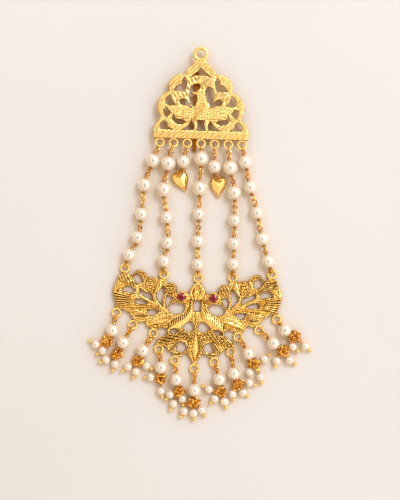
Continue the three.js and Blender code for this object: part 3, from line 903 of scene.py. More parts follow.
@dataclass
class Relief:
    """A pierced cast plate: an outline, windows through it and raised bands on it."""

    edge: Array  # the closed outline
    windows: list[Array]
    extras: list[Array]  # parts that stand into a window
    bands: list[Band]
    ground: float  # height of the plain plate
    ground_grain: float
    step: float = 0.13  # spacing of the grid
    band_root: float = 0.25  # how far under the plain plate a band's section starts
    band_margin: float = 0.6
    grain_pitch: float = 0.55
    grain_stray: float = 0.32  # how far a grain may lie off its place, over the pitch
    grain_radius: float = 0.52  # over the pitch
    grain_gain: float = 1.0  # how much deeper than drawn the granulation is struck
    edge_round: float = 0.32  # width of the softened edge
    edge_drop: float = 0.3
    edge_wear: float = 0.7  # the part of the cuts and grains that is worn off at the edge
    recess_reach: float = 0.45  # how far round a place its neighbours shade it
    recess_depth: float = 0.26
    plain_shade: float = 0.12  # the painted shade of a level place
    rim_shade: float = 0.75  # the painted shade along the sawn edge
    rim_reach: float = 0.3
    # The painted shade on the sawn walls and on the flat back.
    wall_shade: float = 0.95
    back_shade: float = 0.3
    swell_pitch: float = 2.4  # millimetres between the soft swells of the cast skin
    swell_depth: float = 0.05
    swell_waves: int = 6
    seed: int = SEED

    CORNERS = ((0, 0), (0, 1), (1, 0), (1, 1))
    # The sides of a grid cell: the cell beyond, then the side's first and second corner.
    SIDES = (
        ((0, -1), (0, 0), (1, 0)),
        ((1, 0), (1, 0), (1, 1)),
        ((0, 1), (1, 1), (0, 1)),
        ((-1, 0), (0, 1), (0, 0)),
    )
    WAVE_SUM = 2.4  # about the greatest height of the waves together
    SNAP = 0.7  # how far a rim point may move, over the grid's spacing
    NEAR_LOOP = 1.5  # millimetres round a window in which it can be the nearest edge
    MARGIN = 0.5  # millimetres of grid beyond the outline

    def __post_init__(self) -> None:
        """Lays the grid and measures how far inside the metal each of its points lies."""
        low, high = self.edge.min(0) - self.MARGIN, self.edge.max(0) + self.MARGIN
        lines = [np.arange(low[k], high[k], self.step) for k in (0, 1)]
        self.u, self.v = np.meshgrid(*lines, indexing="ij")
        self.depth = self.inside()

    def grains(self) -> Array:
        """Gives the granulation: small domes struck close together, none quite in line.

        Returns:
            The height of the domes over the grid, from 0 to 1.
        """
        rng = np.random.default_rng(self.seed)
        column = (self.u - self.u.min()) / self.grain_pitch
        row = (self.v - self.v.min()) / self.grain_pitch
        counts = (int(column.max()) + 3, int(row.max()) + 3)
        jitter = rng.uniform(-self.grain_stray, self.grain_stray, (*counts, 2))
        best = np.zeros(self.u.shape)
        base_column, base_row = np.floor(column).astype(int), np.floor(row).astype(int)
        for di, dj in self.CORNERS:
            i, j = base_column + di, base_row + dj
            gap = np.hypot(column - i - jitter[i, j, 0], row - j - jitter[i, j, 1])
            best = np.maximum(best, np.sqrt(np.clip(1 - (gap / self.grain_radius) ** 2, 0, 1)))
        return best

    def swells(self) -> Array:
        """Gives the soft uneven swell of a hand-finished casting.

        Returns:
            The swell's height over the grid, in millimetres.
        """
        rng = np.random.default_rng(self.seed + 1)
        total = np.zeros(self.u.shape)
        turns = rng.uniform(0, math.tau, self.swell_waves)
        stretches = rng.uniform(0.75, 1.5, self.swell_waves)
        phases = rng.uniform(0, math.tau, self.swell_waves)
        for turn, stretch, phase in zip(turns, stretches, phases):
            run = self.u * math.cos(turn) + self.v * math.sin(turn)
            total += np.sin(run * math.tau / (self.swell_pitch * stretch) + phase) / self.WAVE_SUM
        return self.swell_depth * total

    def inside(self) -> Array:
        """Measures how far inside the metal the grid's points lie.

        Returns:
            The distance to the nearest edge of metal, negative outside the metal.
        """
        depth = inside_distance(self.u, self.v, self.edge)
        for loop, sign in [*((w, -1) for w in self.windows), *((e, 1) for e in self.extras)]:
            low, high = loop.min(0) - self.NEAR_LOOP, loop.max(0) + self.NEAR_LOOP
            near = self.within(low, high)
            part = sign * inside_distance(self.u[near], self.v[near], loop)
            depth[near] = (np.minimum if sign < 0 else np.maximum)(depth[near], part)
        return depth

    def within(self, low: Array, high: Array) -> Array:
        """Marks the grid's points between a low and a high corner."""
        return (self.u > low[0]) & (self.u < high[0]) & (self.v > low[1]) & (self.v < high[1])

    def heights(self) -> Array:
        """Works out the height of the metal over the grid.

        Returns:
            The height over the plate's back.
        """
        grains = self.grains() * self.grain_gain
        height = np.full(self.u.shape, self.ground)
        detail = self.ground_grain * grains
        low = self.ground - self.band_root
        for band in self.bands:
            rows = np.asarray(band.rows)
            reach = rows[:, 2].max() + self.band_margin
            near = self.within(rows.min(0) - reach, rows.max(0) + reach)
            plain, worked = band.raise_over(self.u[near], self.v[near], grains[near], low)
            higher = plain > height[near]
            detail[near] = np.where(higher, worked, detail[near])
            height[near] = np.maximum(plain, height[near])
        soft = np.clip(1 - self.depth / self.edge_round, 0, 1)
        dulled = detail * (1 - self.edge_wear * soft)
        return height + dulled + self.swells() - self.edge_drop * soft**2

    def recesses(self, height: Array) -> Array:
        """Works out the painted shade of each place: darker where it lies below its neighbours and near
        the sawn edge.

        Args:
            height: The heights over the grid.

        Returns:
            The tone, from 0 for bright to 1 for dark.
        """
        width = max(1, int(self.recess_reach / self.step))
        spread = height
        for axis in (0, 1):
            around = range(-width, width + 1)
            spread = sum(np.roll(spread, k, axis) for k in around) / (2 * width + 1)
        low = np.clip((spread - height) / self.recess_depth + self.plain_shade, 0, 1)
        return np.maximum(low, self.rim_shade * np.clip(1 - self.depth / self.rim_reach, 0, 1))

    def kept_cells(self) -> Array:
        """Marks the grid's cells that are metal, with no two meeting at a corner only.

        Returns:
            Whether each cell is kept.
        """
        depth = self.depth
        kept = (depth[:-1, :-1] + depth[1:, :-1] + depth[:-1, 1:] + depth[1:, 1:]) > 0
        for _ in range(4):
            a, b, c, d = kept[:-1, :-1], kept[1:, :-1], kept[:-1, 1:], kept[1:, 1:]
            rising = a & d & ~b & ~c
            falling = b & c & ~a & ~d
            kept[1:, :-1] |= rising
            kept[:-1, :-1] |= falling
        return kept

    def snap(self, rim: Array) -> None:
        """Moves the grid's points at the rim onto the true outline.

        Args:
            rim: Which points are at the rim.
        """
        slope_u, slope_v = np.gradient(self.depth, self.step)
        steep = np.maximum(slope_u**2 + slope_v**2, 0.25)
        most = self.SNAP * self.step
        for axis, slope in ((self.u, slope_u), (self.v, slope_v)):
            shift = np.clip(-self.depth * slope / steep, -most, most)
            axis[rim] += shift[rim]

    def rim_edges(self, padded: Array, number: Array) -> dict[int, int]:
        """Walks the sides of cells that have no metal beyond them.

        Args:
            padded: Which cells are kept, with one row of empty cells all round.
            number: The number of each grid point that is used.

        Returns:
            Each point of the rim to the point after it.
        """
        i, j = np.argwhere(padded[1:-1, 1:-1]).T
        follows: dict[int, int] = {}
        for (di, dj), start, end in self.SIDES:
            open_side = ~padded[i + 1 + di, j + 1 + dj]
            ci, cj = i[open_side], j[open_side]
            first = number[ci + start[0], cj + start[1]]
            second = number[ci + end[0], cj + end[1]]
            follows.update(zip(first.tolist(), second.tolist()))
        return follows

    def add_to(self, shape: Shape, place: Place) -> None:
        """Adds the cast plate to a shape: its worked face, its sawn walls and its flat back.

        Args:
            shape: The shape that gets the faces.
            place: A function from u, v and height to the row frame, in millimetres.
        """
        rows, columns = self.u.shape
        height = self.heights()
        recess = self.recesses(height)
        kept = self.kept_cells()
        padded = np.pad(kept, 1)
        touching = sum(padded[i : i + rows, j : j + columns].astype(int) for i, j in self.CORNERS)
        used = touching > 0
        self.snap(used & (touching < 4))
        u, v = self.u[used], self.v[used]
        number = np.full(used.shape, -1)
        number[used] = np.arange(used.sum())
        i, j = np.argwhere(kept).T
        quads = [number[i, j], number[i + 1, j], number[i + 1, j + 1], number[i, j + 1]]
        top = place(u, v, height[used])
        shape.add(top, np.stack(quads, 1), recess[used])

        follows = self.rim_edges(padded, number)
        rim = np.array(sorted(follows))
        count = len(rim)
        order = {int(n): k for k, n in enumerate(rim)}
        back = place(u[rim], v[rim], np.zeros(count))
        walls = [(order[b], order[a], order[a] + count, order[b] + count) for a, b in follows.items()]
        # The walls and the back take painted shade.
        shape.add(np.vstack([top[rim], back]), walls, np.full(2 * count, self.wall_shade))
        loops = [[order[n] for n in loop] for loop in closed_loops(follows)]
        shape.add(back, cap(u[rim], v[rim], loops), np.full(count, self.back_shade))


def listed(rows: Rows) -> Array:
    """Gives a table's rows as a smooth closed outline."""
    return smooth_line(rows, closed=True)


def whole_outline(rows: Rows) -> Array:
    """Closes a right half with its mirror image.

    Args:
        rows: The u and v of each point of the right half, from one end on the middle line to the
            other.

    Returns:
        The whole outline, smoothed.
    """
    right = [tuple(row) for row in rows]
    left = [(-u, v) for u, v in reversed(right) if u > 1e-6]
    return smooth_line([*right, *left], closed=True)


def window_pair(rows: Rows) -> list[Array]:
    """Gives a window and its mirror image, or one window where it crosses the middle.

    Args:
        rows: The u and v of each point of the right window, or of the right half.

    Returns:
        One or two smoothed outlines.
    """
    if min(u for u, _ in rows) <= 0.01:
        return [whole_outline(rows)]
    return [listed(rows), listed([(-u, v) for u, v in rows])]


# ---- wire work


@dataclass
class WireWork:
    """Wrapped eyes, jump rings and coils of drawn wire."""

    wire: float = 0.25  # radius
    ring_length: float = 2.4  # outer length of an eye or a jump ring
    ring_shape: float = 0.92  # its width over its length
    least_width: float = 0.42  # half the width of the narrowest ring
    ring_tilt: float = 0.35  # how far a ring leans over, as a tangent
    turn_length: float = 0.8  # a ring's second turn of wire, over the first: its length
    turn_width: float = 0.85  # its width
    turn_wire: float = 0.72  # its wire
    coil_length: float = 0.75
    coil_turns: float = 2.5
    coil_points: int = 12  # points in each turn
    coil_swell: float = 2.3  # the wraps' radius over the wire's
    core_start: float = 0.4  # how far the wire under the wraps runs back into the pearl
    core_end: float = 0.3
    darkening: float = 0.6  # how much darker the wraps and rings are drawn, from 0 to 1
    seed: int = SEED

    CROSSING = (0.6, 0.8)  # a second turn's face: along the first one's, and leaning over
    OUT = (0.55, 1.0)  # how far out loose rings lie, over the reach of their crowd
    LIFT = (-0.5, 0.9)  # how high they lie, in millimetres
    LOOSE_SHAPE = 0.88  # their width over their length
    STAND = np.array([1.0, 1.0, 0.8])  # they stand a little more often than they lie

    def __post_init__(self) -> None:
        """Starts the seeded draws that set the rings askew."""
        self.rng = np.random.default_rng(self.seed)

    def coil(self, shape: Shape, start: Array, way: Array) -> Array:
        """Adds the wire wrapped under an eye.

        Args:
            shape: The shape that gets the wire.
            start: Where the coil leaves the pearl.
            way: The direction in which it runs.

        Returns:
            The coil's far end.
        """
        way = unit(way)
        side = unit(np.cross(way, UP))
        other = np.cross(way, side)
        count = int(self.coil_turns * self.coil_points) + 1
        turns = np.linspace(0, self.coil_turns * 2 * math.pi, count)
        radius = self.wire * self.coil_swell
        line = (
            start + np.outer(turns / turns[-1] * self.coil_length, way)
            + radius * (np.outer(np.cos(turns), side) + np.outer(np.sin(turns), other))
        )
        shape.tube(line, self.wire, sides=6, recess=self.darkening)
        end = start + way * self.coil_length
        core = np.array([start - way * self.core_start, start, end, end + way * self.core_end])
        shape.tube(core, self.wire, sides=6, recess=self.darkening)
        return end

    def link(self, shape: Shape, start: Array, end: Array, flat_first: bool = False) -> None:
        """Adds interlocked rings between two places, turned by turns flat and upright.

        Args:
            shape: The shape that gets the rings.
            start: The near end of the first ring.
            end: The far end of the last ring.
            flat_first: Whether the first ring lies flat.
        """
        gap = float(np.linalg.norm(end - start))
        lap = 4 * self.wire
        count = max(1, round((gap - lap) / (self.ring_length - lap)))
        length = (gap + (count - 1) * lap) / count
        way = unit(end - start)
        side = unit(np.cross(way, UP))
        for k in range(count):
            flat = (k % 2 == 0) == flat_first
            tilt = float(self.rng.uniform(-self.ring_tilt, self.ring_tilt))
            face, lean = (UP, side) if flat else (side, UP)
            half = length / 2 - self.wire
            middle = start + way * (length / 2 + k * (length - lap))
            wide = max(half * self.ring_shape, self.least_width)
            dulled = self.darkening * float(self.rng.uniform(0.1, 0.9))
            shape.ring(middle, face + lean * tilt, way, half, wide, self.wire, recess=dulled)
            # A second turn of the same wire lies across the first.
            along, over = self.CROSSING
            across = face * along + lean * (over if tilt < 0 else -over)
            shape.ring(
                middle, across, way, half * self.turn_length, wide * self.turn_width,
                self.wire * self.turn_wire, recess=dulled,
            )

    def tangle(self, shape: Shape, centre: Array, reach: float, count: int, size: float) -> None:
        """Adds loose rings that crowd together at every angle.

        Args:
            shape: The shape that gets the rings.
            centre: The middle of the crowd.
            reach: How far from it a ring's middle may lie.
            count: How many rings there are.
            size: Half the length of a ring's middle line.
        """
        for k in range(count):
            turn = 2 * math.pi * (k + float(self.rng.uniform(0, 0.5))) / count
            out = reach * float(self.rng.uniform(*self.OUT))
            lift = float(self.rng.uniform(*self.LIFT))
            middle = centre + np.array([math.cos(turn) * out, math.sin(turn) * out, lift])
            normal = self.rng.normal(size=3) * self.STAND
            way = self.rng.normal(size=3)
            dulled = self.darkening * float(self.rng.uniform(0, 0.7))
            shape.ring(middle, normal, way, size, size * self.LOOSE_SHAPE, self.wire, recess=dulled)


@dataclass
class Part:
    """What every sub-assembly works with: the materials, and the maker of rings and coils."""

    finishes: Finishes
    wires: WireWork

    @property
    def kit(self) -> tuple[Finishes, WireWork]:
        """Gives both, for the sub-assemblies inside this one."""
        return self.finishes, self.wires


# ---- upper plate


@dataclass
class Plate(Part):
    """What the two plates share: a place in the row frame, an outline and soldered loops."""

    loop_radius: float = 1.6
    loop_wire: float = 0.45
    loop_beads: int = 15  # beads round a loop's wire
    thick: float = 1.2
    origin: Array = field(default_factory=lambda: np.zeros(3))
    turn: float = 0.0  # radians
    slope: float = 0.0  # rise of the plate's level lines

    EDGE = ()  # the outline's right half: u and v of each point
    WINDOWS = ()  # the windows' right halves, or the right one of each pair, in the same columns

    def place(self, u: float | Array, v: float | Array, height: float | Array) -> Array:
        """Takes plate coordinates to the row frame.

        Args:
            u: Places across the plate.
            v: Places up the plate.
            height: Their heights over the plate's back.

        Returns:
            One x, y and z for each place, in millimetres.
        """
        u, v, height = np.broadcast_arrays(*(np.asarray(part, float) for part in (u, v, height)))
        v = v + self.slope * u
        x = self.origin[0] + u * math.cos(self.turn) - v * math.sin(self.turn)
        y = self.origin[1] + u * math.sin(self.turn) + v * math.cos(self.turn)
        return np.stack([x, y, self.origin[2] + height], -1)

    def loop_centre(self, u: float, v: float) -> Array:
        """Gives the middle of a loop in the row frame."""
        return self.place(u, v, self.thick / 2)

    def add_loops(self, shape: Shape, places: Rows) -> None:
        """Adds soldered loops of beaded wire.

        Args:
            shape: The shape that gets the loops.
            places: The u and v of each loop's middle.
        """
        way, radius = np.array([0.0, 1.0, 0.0]), self.loop_radius
        for u, v in places:
            shape.ring(
                self.loop_centre(u, v), UP, way, radius, radius, self.loop_wire, steps=72, sides=10,
                beads=self.loop_beads,
            )

    def window_outlines(self) -> list[Array]:
        """Gives every window on both sides of the plate."""
        return [loop for rows in self.WINDOWS for loop in window_pair(rows)]


@dataclass
class UpperPlate(Plate):
    """The pierced top plate: a peacock in a scalloped border over a fluted bar."""

    slope: float = -0.034
    raised: float = 1.6  # the bird stands this high over the plate's back
    hanger_v: float = 33.9
    hanger_reach: float = 37.0  # the hanger ring's top
    hanger_radius: float = 2.38
    hanger_wire: float = 0.7
    hanger_lift: float = 0.75  # the hanger ring's middle over the plate's back
    loop_count: int = 7
    loop_pitch: float = 5.47
    loop_drop: float = 1.7
    hook_radius: float = 0.8
    hook_lift: float = 0.12  # the gap under the hook

    EDGE = (
        (0, 32.6), (1.6, 32.0), (3.0, 30.0), (5.0, 28.2), (6.2, 25.9), (8.6, 25.9), (10.9, 24.5),
        (12.5, 22.5), (12.9, 20.3), (12.5, 18.9), (14.6, 18.0), (16.4, 15.8), (17.4, 13.4), (17.3, 11.0),
        (16.0, 8.5), (16.4, 7.8), (17.9, 6.2), (18.9, 4.0), (19.0, 1.6), (18.8, 0), (0, 0),
    )
    WINDOWS = (
        ((0, 28.5), (1.6, 26.8), (4.5, 24.3), (2.4, 25.2), (0, 25.5)),
        ((6.6, 24.6), (7.6, 23.0), (7.5, 21.6), (9.4, 21.1), (10.9, 19.2), (6.3, 18.8), (5.6, 22.4)),
        ((12.3, 17.4), (13.9, 15.9), (14.1, 13.6), (12.4, 13.2), (10.1, 13.5), (11.4, 15.1)),
        ((13.8, 12.2), (15.1, 11.4), (14.8, 9.4), (13.8, 8.1), (12.1, 10.1)),
        ((14.9, 7.0), (16.4, 5.4), (16.2, 3.6), (11.2, 3.5), (13.3, 4.5), (13.6, 6.2)),
        ((11.0, 9.6), (10.0, 7.9), (7.2, 7.5), (6.0, 6.6), (7.8, 5.8), (9.8, 6.0), (11.6, 7.7)),
        ((3.8, 7.5), (2.8, 5.2), (3.1, 3.6), (7.7, 3.4), (5.2, 5.2)),
        ((0, 7.5), (1.6, 7.5), (1.2, 5.8), (1.8, 3.4), (0, 3.4)),
        ((3.6, 12.3), (5.6, 15.2), (7.4, 16.0), (8.7, 15.0), (8.0, 13.8), (5.8, 13.3)),
    )
    # The two windows beside the bird's neck, which differ, and the beak that stands into the left one.
    TAIL_WINDOWS = (
        ((4.0, 12.9), (3.0, 14.6), (2.2, 16.6), (1.8, 18.8), (2.3, 20.4), (3.4, 20.9), (4.5, 20.1),
         (5.1, 18.0), (4.9, 15.2)),
        ((-2.9, 12.9), (-4.2, 14.4), (-4.7, 16.4), (-4.6, 18.6), (-4.2, 20.2), (-3.2, 21.5), (-1.6, 22.0),
         (-0.3, 21.8), (-0.3, 20.6), (-1.1, 19.8), (-1.6, 18.6), (-1.7, 16.6), (-1.8, 15.2), (-2.2, 13.9)),
    )
    BEAK = ((-1.0, 19.4), (-4.4, 18.2), (-1.2, 17.2))
    # The scalloped border of the right half, whose flutes all run one way on both halves.
    FLUTES = Cuts(1.25, 0.23, share=1.0, heading=47, vee=True)
    BORDER = (
        ((0.3, 30.8, 1.5), (2.6, 28.8, 1.6), (5.4, 26.4, 1.3)),
        ((6.6, 25.1, 1.0), (8.8, 24.3, 1.4), (10.8, 22.5, 1.5), (11.7, 20.2, 1.3)),
        ((12.4, 18.1, 1.1), (14.6, 16.7, 1.3), (15.9, 13.8, 1.5), (15.7, 11.0, 1.4), (15.0, 8.9, 0.9)),
        ((15.9, 7.4, 0.9), (17.2, 5.4, 1.2), (17.7, 3.2, 1.2)),
        ((3.4, 7.4, 0.6), (5.0, 5.6, 1.0), (7.2, 4.5, 1.3), (10.6, 4.6, 1.4), (13.0, 6.3, 1.4),
         (13.4, 8.8, 0.9)),
    )
    SWELL = Cuts(1.5, 0.1, share=1.0, heading=60, vee=True)
    # The smooth tail and the crescents of the right half.
    PLUMAGE = (
        Band(((0.0, 23.4, 2.5), (2.6, 23.2, 2.7), (4.9, 21.6, 2.5), (5.6, 18.2, 1.7),
             (5.0, 15.2, 0.9)), 1.45, FLAT, SWELL),
        Band(((4.8, 14.4, 0.9), (5.9, 17.0, 1.7), (8.6, 17.4, 2.3), (10.8, 16.4, 1.9),
             (11.2, 14.0, 0.9)), 1.45, FLAT, SWELL),
        Band(((2.1, 3.0, 0.8), (2.1, 6.0, 0.8), (2.6, 7.8, 0.9)), 1.35, grain=0.16),
    )
    # The granulated bird, which looks to the left: wings, body, head, crest, beak and legs.
    BIRD = (
        *both_sides([
            Band(((1.4, 9.7, 1.9), (4.6, 10.2, 2.5), (8.0, 10.9, 2.7), (10.6, 11.4, 2.1),
                     (12.6, 12.2, 1.0)), 1.4, FLAT, grain=0.2),
        ]),
        Band(((0, 7.4, 2.4), (0, 10.5, 3.3), (0, 13.4, 2.5)), 1.45, FLAT, grain=0.2),
        Band(((0.4, 12.8, 2.9), (0.4, 15.0, 2.4), (0.2, 17.6, 1.8)), 1.45, FLAT, grain=0.2),
        boss(0.1, 18.0, 2.3, 1.6, grain=0.2),
        Band(((0.9, 22.4, 0.9), (0.9, 20.4, 0.8)), 1.35),
        Band(((-0.8, 18.3, 0.9), (-2.8, 18.3, 0.6), (-4.8, 18.2, 0.3)), 1.3, RIDGE),
        Band(((-3.4, 7.8, 0.35), (-1.2, 10.9, 0.42), (1.0, 13.9, 0.35)), 1.85),
        Band(((-2.5, 7.6, 0.3), (-0.3, 10.5, 0.36), (1.8, 13.3, 0.3)), 1.8),
    )

    def __post_init__(self) -> None:
        """Finds the plate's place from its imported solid."""
        middle, sides = middle_of("upper_plate")
        high = middle + sides / 2
        self.origin = np.array([middle[0], high[1] - self.hanger_reach, high[2] - self.raised])

    @property
    def loops(self) -> list[Pair]:
        """The loops under the bar, left to right: the u and v of each one's middle."""
        middle = (self.loop_count - 1) / 2
        return [((i - middle) * self.loop_pitch, -self.loop_drop) for i in range(self.loop_count)]

    def relief(self) -> Relief:
        """Gives the plate's outline, windows and raised work.

        Returns:
            The whole relief.
        """
        flutes = Cuts(1.25, 0.25, share=1.0, heading=43, vee=True)
        bar = Band(((-18.9, 1.5, 2.3), (18.9, 1.5, 2.3)), 1.5, FLAT, flutes)
        windows = [*self.window_outlines(), *(listed(rows) for rows in self.TAIL_WINDOWS)]
        right = [Band(rows, 1.4, FLAT, self.FLUTES) for rows in self.BORDER]
        left = [replace(band.mirrored(), cuts=self.FLUTES) for band in right]
        bands = [*right, *left, *both_sides(self.PLUMAGE), *self.BIRD, bar]
        return Relief(
            whole_outline(self.EDGE), windows, [listed(self.BEAK)], bands, ground=1.2, ground_grain=0.06,
            grain_pitch=0.62,
        )

    def build(self) -> None:
        """Builds the plate with its hanger, its loops and its hair hook."""
        shape = Shape()
        self.relief().add_to(shape, self.place)
        hanger, radius = self.place(0, self.hanger_v, self.hanger_lift), self.hanger_radius
        way = np.array([0.0, 1.0, 0.0])
        shape.ring(hanger, UP, way, radius, radius, self.hanger_wire, steps=48, sides=14)
        self.add_loops(shape, self.loops)
        dress(shape.build("peacock_plate"), self.finishes.satin, Slot.GOLD, "upper_plate")
        self.build_hook()

    def build_hook(self) -> None:
        """Builds the amber hair hook that runs down behind the plate."""
        lying = self.hook_radius + self.hook_lift - self.origin[2]
        # The u, v and height of the wire's middle, from the solder down to the tip.
        rows = (
            (-1.5, 27.4, 0.5), (-1.5, 27.1, -0.9), (-1.5, 26.0, lying), (-1.8, 18.0, lying),
            (-2.4, 4.0, lying), (-2.7, -5.0, lying),
        )
        line = smooth_line(rows, corner=120.0, step=0.5)
        radius = np.full(len(line), self.hook_radius)
        radius[-3:] = self.hook_radius * np.array([0.95, 0.75, 0.35])
        hook = Shape()
        hook.tube(self.place(*line.T), radius, sides=14)
        dress(hook.build("hair_hook"), self.finishes.amber, Slot.GOLD)


# ---- lower plate


@dataclass
class LowerPlate(Plate):
    """The chased lower plate: two birds with ruby eyes back to back in leaves and flowers."""

    eye: Pair = (6.4, 10.0)
    collet_radius: float = 1.95
    collet_height: float = 1.25

    EDGE = (
        (0, 16.4), (1.6, 15.4), (3.2, 12.8), (3.6, 11.4), (6.4, 12.4), (8.4, 11.6), (8.4, 14.0),
        (9.4, 15.2), (10.8, 15.7), (12.2, 15.2), (12.9, 17.0), (14.8, 17.0), (16.2, 17.0), (18.6, 17.6),
        (20.4, 17.4), (21.4, 19.2), (23.2, 20.2), (25.0, 19.8), (26.8, 17.6), (28.6, 19.1), (31.6, 18.2),
        (32.4, 15.8), (33.4, 14.0), (33.8, 11.2), (33.2, 8.4), (32.4, 6.4), (32.8, 4.4), (30.4, 4.3),
        (27.8, 3.2), (26.2, 1.6), (24.6, -0.3), (23.3, -0.9), (20.4, -0.4), (19.8, -2.2), (17.6, -3.3),
        (16.2, -3.2), (13.0, -2.6), (11.6, -2.9), (11.4, -4.8), (13.8, -6.4), (15.4, -7.6), (15.8, -9.3),
        (14.6, -9.7), (12.9, -9.9), (11.4, -10.6), (10.6, -12.2), (8.8, -12.4), (8.8, -13.8),
        (7.0, -13.9), (5.2, -13.5), (3.4, -12.2), (2.4, -13.8), (1.2, -15.0), (0.9, -16.9), (0, -17.0),
    )
    WINDOWS = (
        ((0, 8.9), (1.5, 8.9), (1.5, 4.3), (0, 4.5)),
        ((4.7, 6.6), (6.2, 7.4), (9.6, 7.4), (11.3, 6.0), (11.4, 4.8), (10.4, 3.5), (8.2, 3.1), (6.0, 3.6),
         (4.9, 4.9)),
        ((9.7, 9.6), (11.2, 10.4), (12.4, 10.4), (12.7, 8.0), (12.4, 5.6), (11.2, 6.8)),
        ((13.7, 14.2), (15.0, 12.6), (16.3, 11.0), (16.0, 8.8), (13.6, 6.0), (13.9, 8.4), (13.3, 11.6)),
        ((18.6, 10.5), (20.8, 11.3), (23.2, 12.7), (23.4, 10.7), (20.6, 9.4), (17.6, 7.7)),
        ((24.8, 12.0), (26.0, 13.1), (28.2, 13.5), (30.2, 12.6), (30.4, 11.5), (27.4, 11.0), (25.6, 10.4)),
        ((21.9, 15.6), (22.6, 17.2), (23.6, 18.5), (25.0, 18.4), (26.2, 16.6), (24.2, 14.4)),
        ((19.4, 7.1), (21.8, 8.3), (24.4, 8.7), (25.1, 6.9), (22.0, 6.4)),
        ((14.9, 4.0), (17.4, 4.5), (20.1, 4.4), (18.8, 2.0), (17.2, 2.2)),
        ((1.9, 0.4), (3.2, 0.2), (5.9, -2.2), (3.0, -3.9), (1.4, -3.4), (0.8, -2.0)),
        ((6.8, -3.2), (8.4, -2.7), (10.0, -3.2), (10.6, -4.3), (8.4, -4.9)),
        ((3.4, -9.6), (4.6, -8.3), (6.4, -7.8), (7.0, -9.4), (7.9, -11.6), (5.6, -12.1), (3.7, -11.5)),
    )
    # The u and v of the loops of the right half: for the strands above and for the drops below.
    STRAND_LOOPS = ((29.5, 20.6), (13.8, 18.7), (0, 17.9))
    DROP_LOOPS = ((32.2, 2.7), (25.3, -1.9), (17.0, -5.0), (14.5, -11.2), (7.9, -15.5), (0, -18.5))
    # The crown, the bud and the leaf on the plate's middle line.
    CENTRE = (
        Band(((-0.7, 9.2, 0.55), (-0.8, 11.6, 0.7), (-0.9, 14.0, 0.5)), 1.85),
        Band(((0.7, 9.3, 0.7), (1.9, 10.8, 0.95), (2.2, 12.7, 0.95), (1.1, 14.9, 0.7)), 1.8),
        Band(((-1.6, 9.4, 0.5), (-2.6, 11.2, 0.7), (-2.4, 12.9, 0.75), (-1.4, 14.7, 0.6)), 1.75),
        boss(0, 15.6, 0.9, 1.4, grain=0.15),
        Band(((0, 1.2, 0.5), (0, 2.5, 1.3), (0, 3.7, 1.2), (0, 4.3, 0.7)), 1.6, RIDGE),
        Band(((0, 0.6, 0.8), (0, -2.0, 0.7), (0, -4.6, 0.9)), 1.3, grain=0.25),
        Band(((0, -4.2, 0.8), (0, -7.8, 1.85), (0, -11.4, 1.75), (0, -15.0, 0.5)), 1.55, RIDGE),
        *both_sides([
            Band(((1.0, -4.6, 0.7), (1.9, -8.0, 1.1), (2.3, -11.2, 1.1), (1.2, -14.6, 0.7)), 1.4,
                 cuts=Cuts(0.9, 0.3, slant=0.7, share=0.5), grain=0.26),
        ]),
        boss(0, -16.0, 0.9, 1.2, grain=0.25),
    )
    FEATHERS = Cuts(1.1, 0.6, slant=0.9, share=0.5, side=1)
    # The right bird: head, feathered neck and folded wing.
    BIRD = (
        Band(((2.2, 9.0, 0.9), (2.2, 6.6, 1.35), (2.7, 4.2, 1.9), (4.4, 1.8, 2.5), (7.1, -0.2, 2.8),
             (9.5, -1.8, 2.4), (11.3, -3.6, 0.7)), 1.85, RIDGE, FEATHERS),
        Band(((3.0, 8.8, 0.5), (5.2, 7.7, 0.6), (7.2, 7.1, 0.35)), 1.7, RIDGE),
        Band(((8.2, 8.7, 0.8), (9.4, 8.2, 0.6), (10.6, 7.6, 0.2)), 1.8, RIDGE),
        Band(((9.0, 7.9, 0.5), (11.0, 6.5, 0.5), (11.9, 4.6, 0.6)), 1.35, grain=0.16),
        Band(((10.8, 2.4, 0.5), (13.2, 2.0, 1.3), (16.2, 0.9, 1.4), (18.8, -0.7, 0.6)), 1.4, RIDGE,
             grain=0.1),
        Band(((10.2, 1.1, 0.5), (13.7, 0.1, 1.4), (17.2, -1.0, 1.3), (20.3, -2.1, 0.3)), 1.55, RIDGE),
        Band(((11.0, -0.8, 0.5), (13.6, -1.6, 0.6), (17.0, -2.1, 0.6), (19.6, -2.0, 0.4)), 1.3,
             grain=0.3),
    )
    # The granulated stems of the right half.
    STEMS = (
        Band(((11.8, 4.0, 0.8), (13.8, 5.1, 1.0), (15.3, 6.6, 0.8), (16.7, 8.6, 0.6),
             (17.5, 10.8, 0.5)), 1.4, grain=0.16),
        Band(((15.4, 6.2, 0.6), (18.4, 7.6, 0.6), (20.8, 8.7, 0.65), (23.0, 10.0, 0.65),
             (24.1, 11.8, 0.6), (24.8, 13.6, 0.6), (26.3, 15.4, 0.6)), 1.45),
        Band(((12.8, 4.4, 0.5), (16.0, 5.1, 0.6), (19.0, 5.6, 0.6), (22.4, 5.5, 0.8),
             (26.0, 5.4, 0.9), (29.2, 5.3, 0.8), (32.2, 4.9, 0.4)), 1.7, RIDGE),
        Band(((13.1, 10.8, 0.3), (13.6, 8.6, 0.5), (13.1, 6.2, 0.3)), 1.1, RIDGE),
        Band(((8.6, 2.6, 0.4), (10.4, 2.9, 0.5), (12.0, 3.8, 0.5)), 1.3, grain=0.16),
        boss(14.6, 5.4, 1.0, 1.55, grain=0.25),
        Band(((13.8, 16.9, 0.7), (14.4, 15.0, 0.8)), 1.2, grain=0.16),
        Band(((2.0, -4.0, 0.6), (4.4, -2.7, 0.6), (6.8, -2.4, 0.4)), 1.2, grain=0.16),
    )
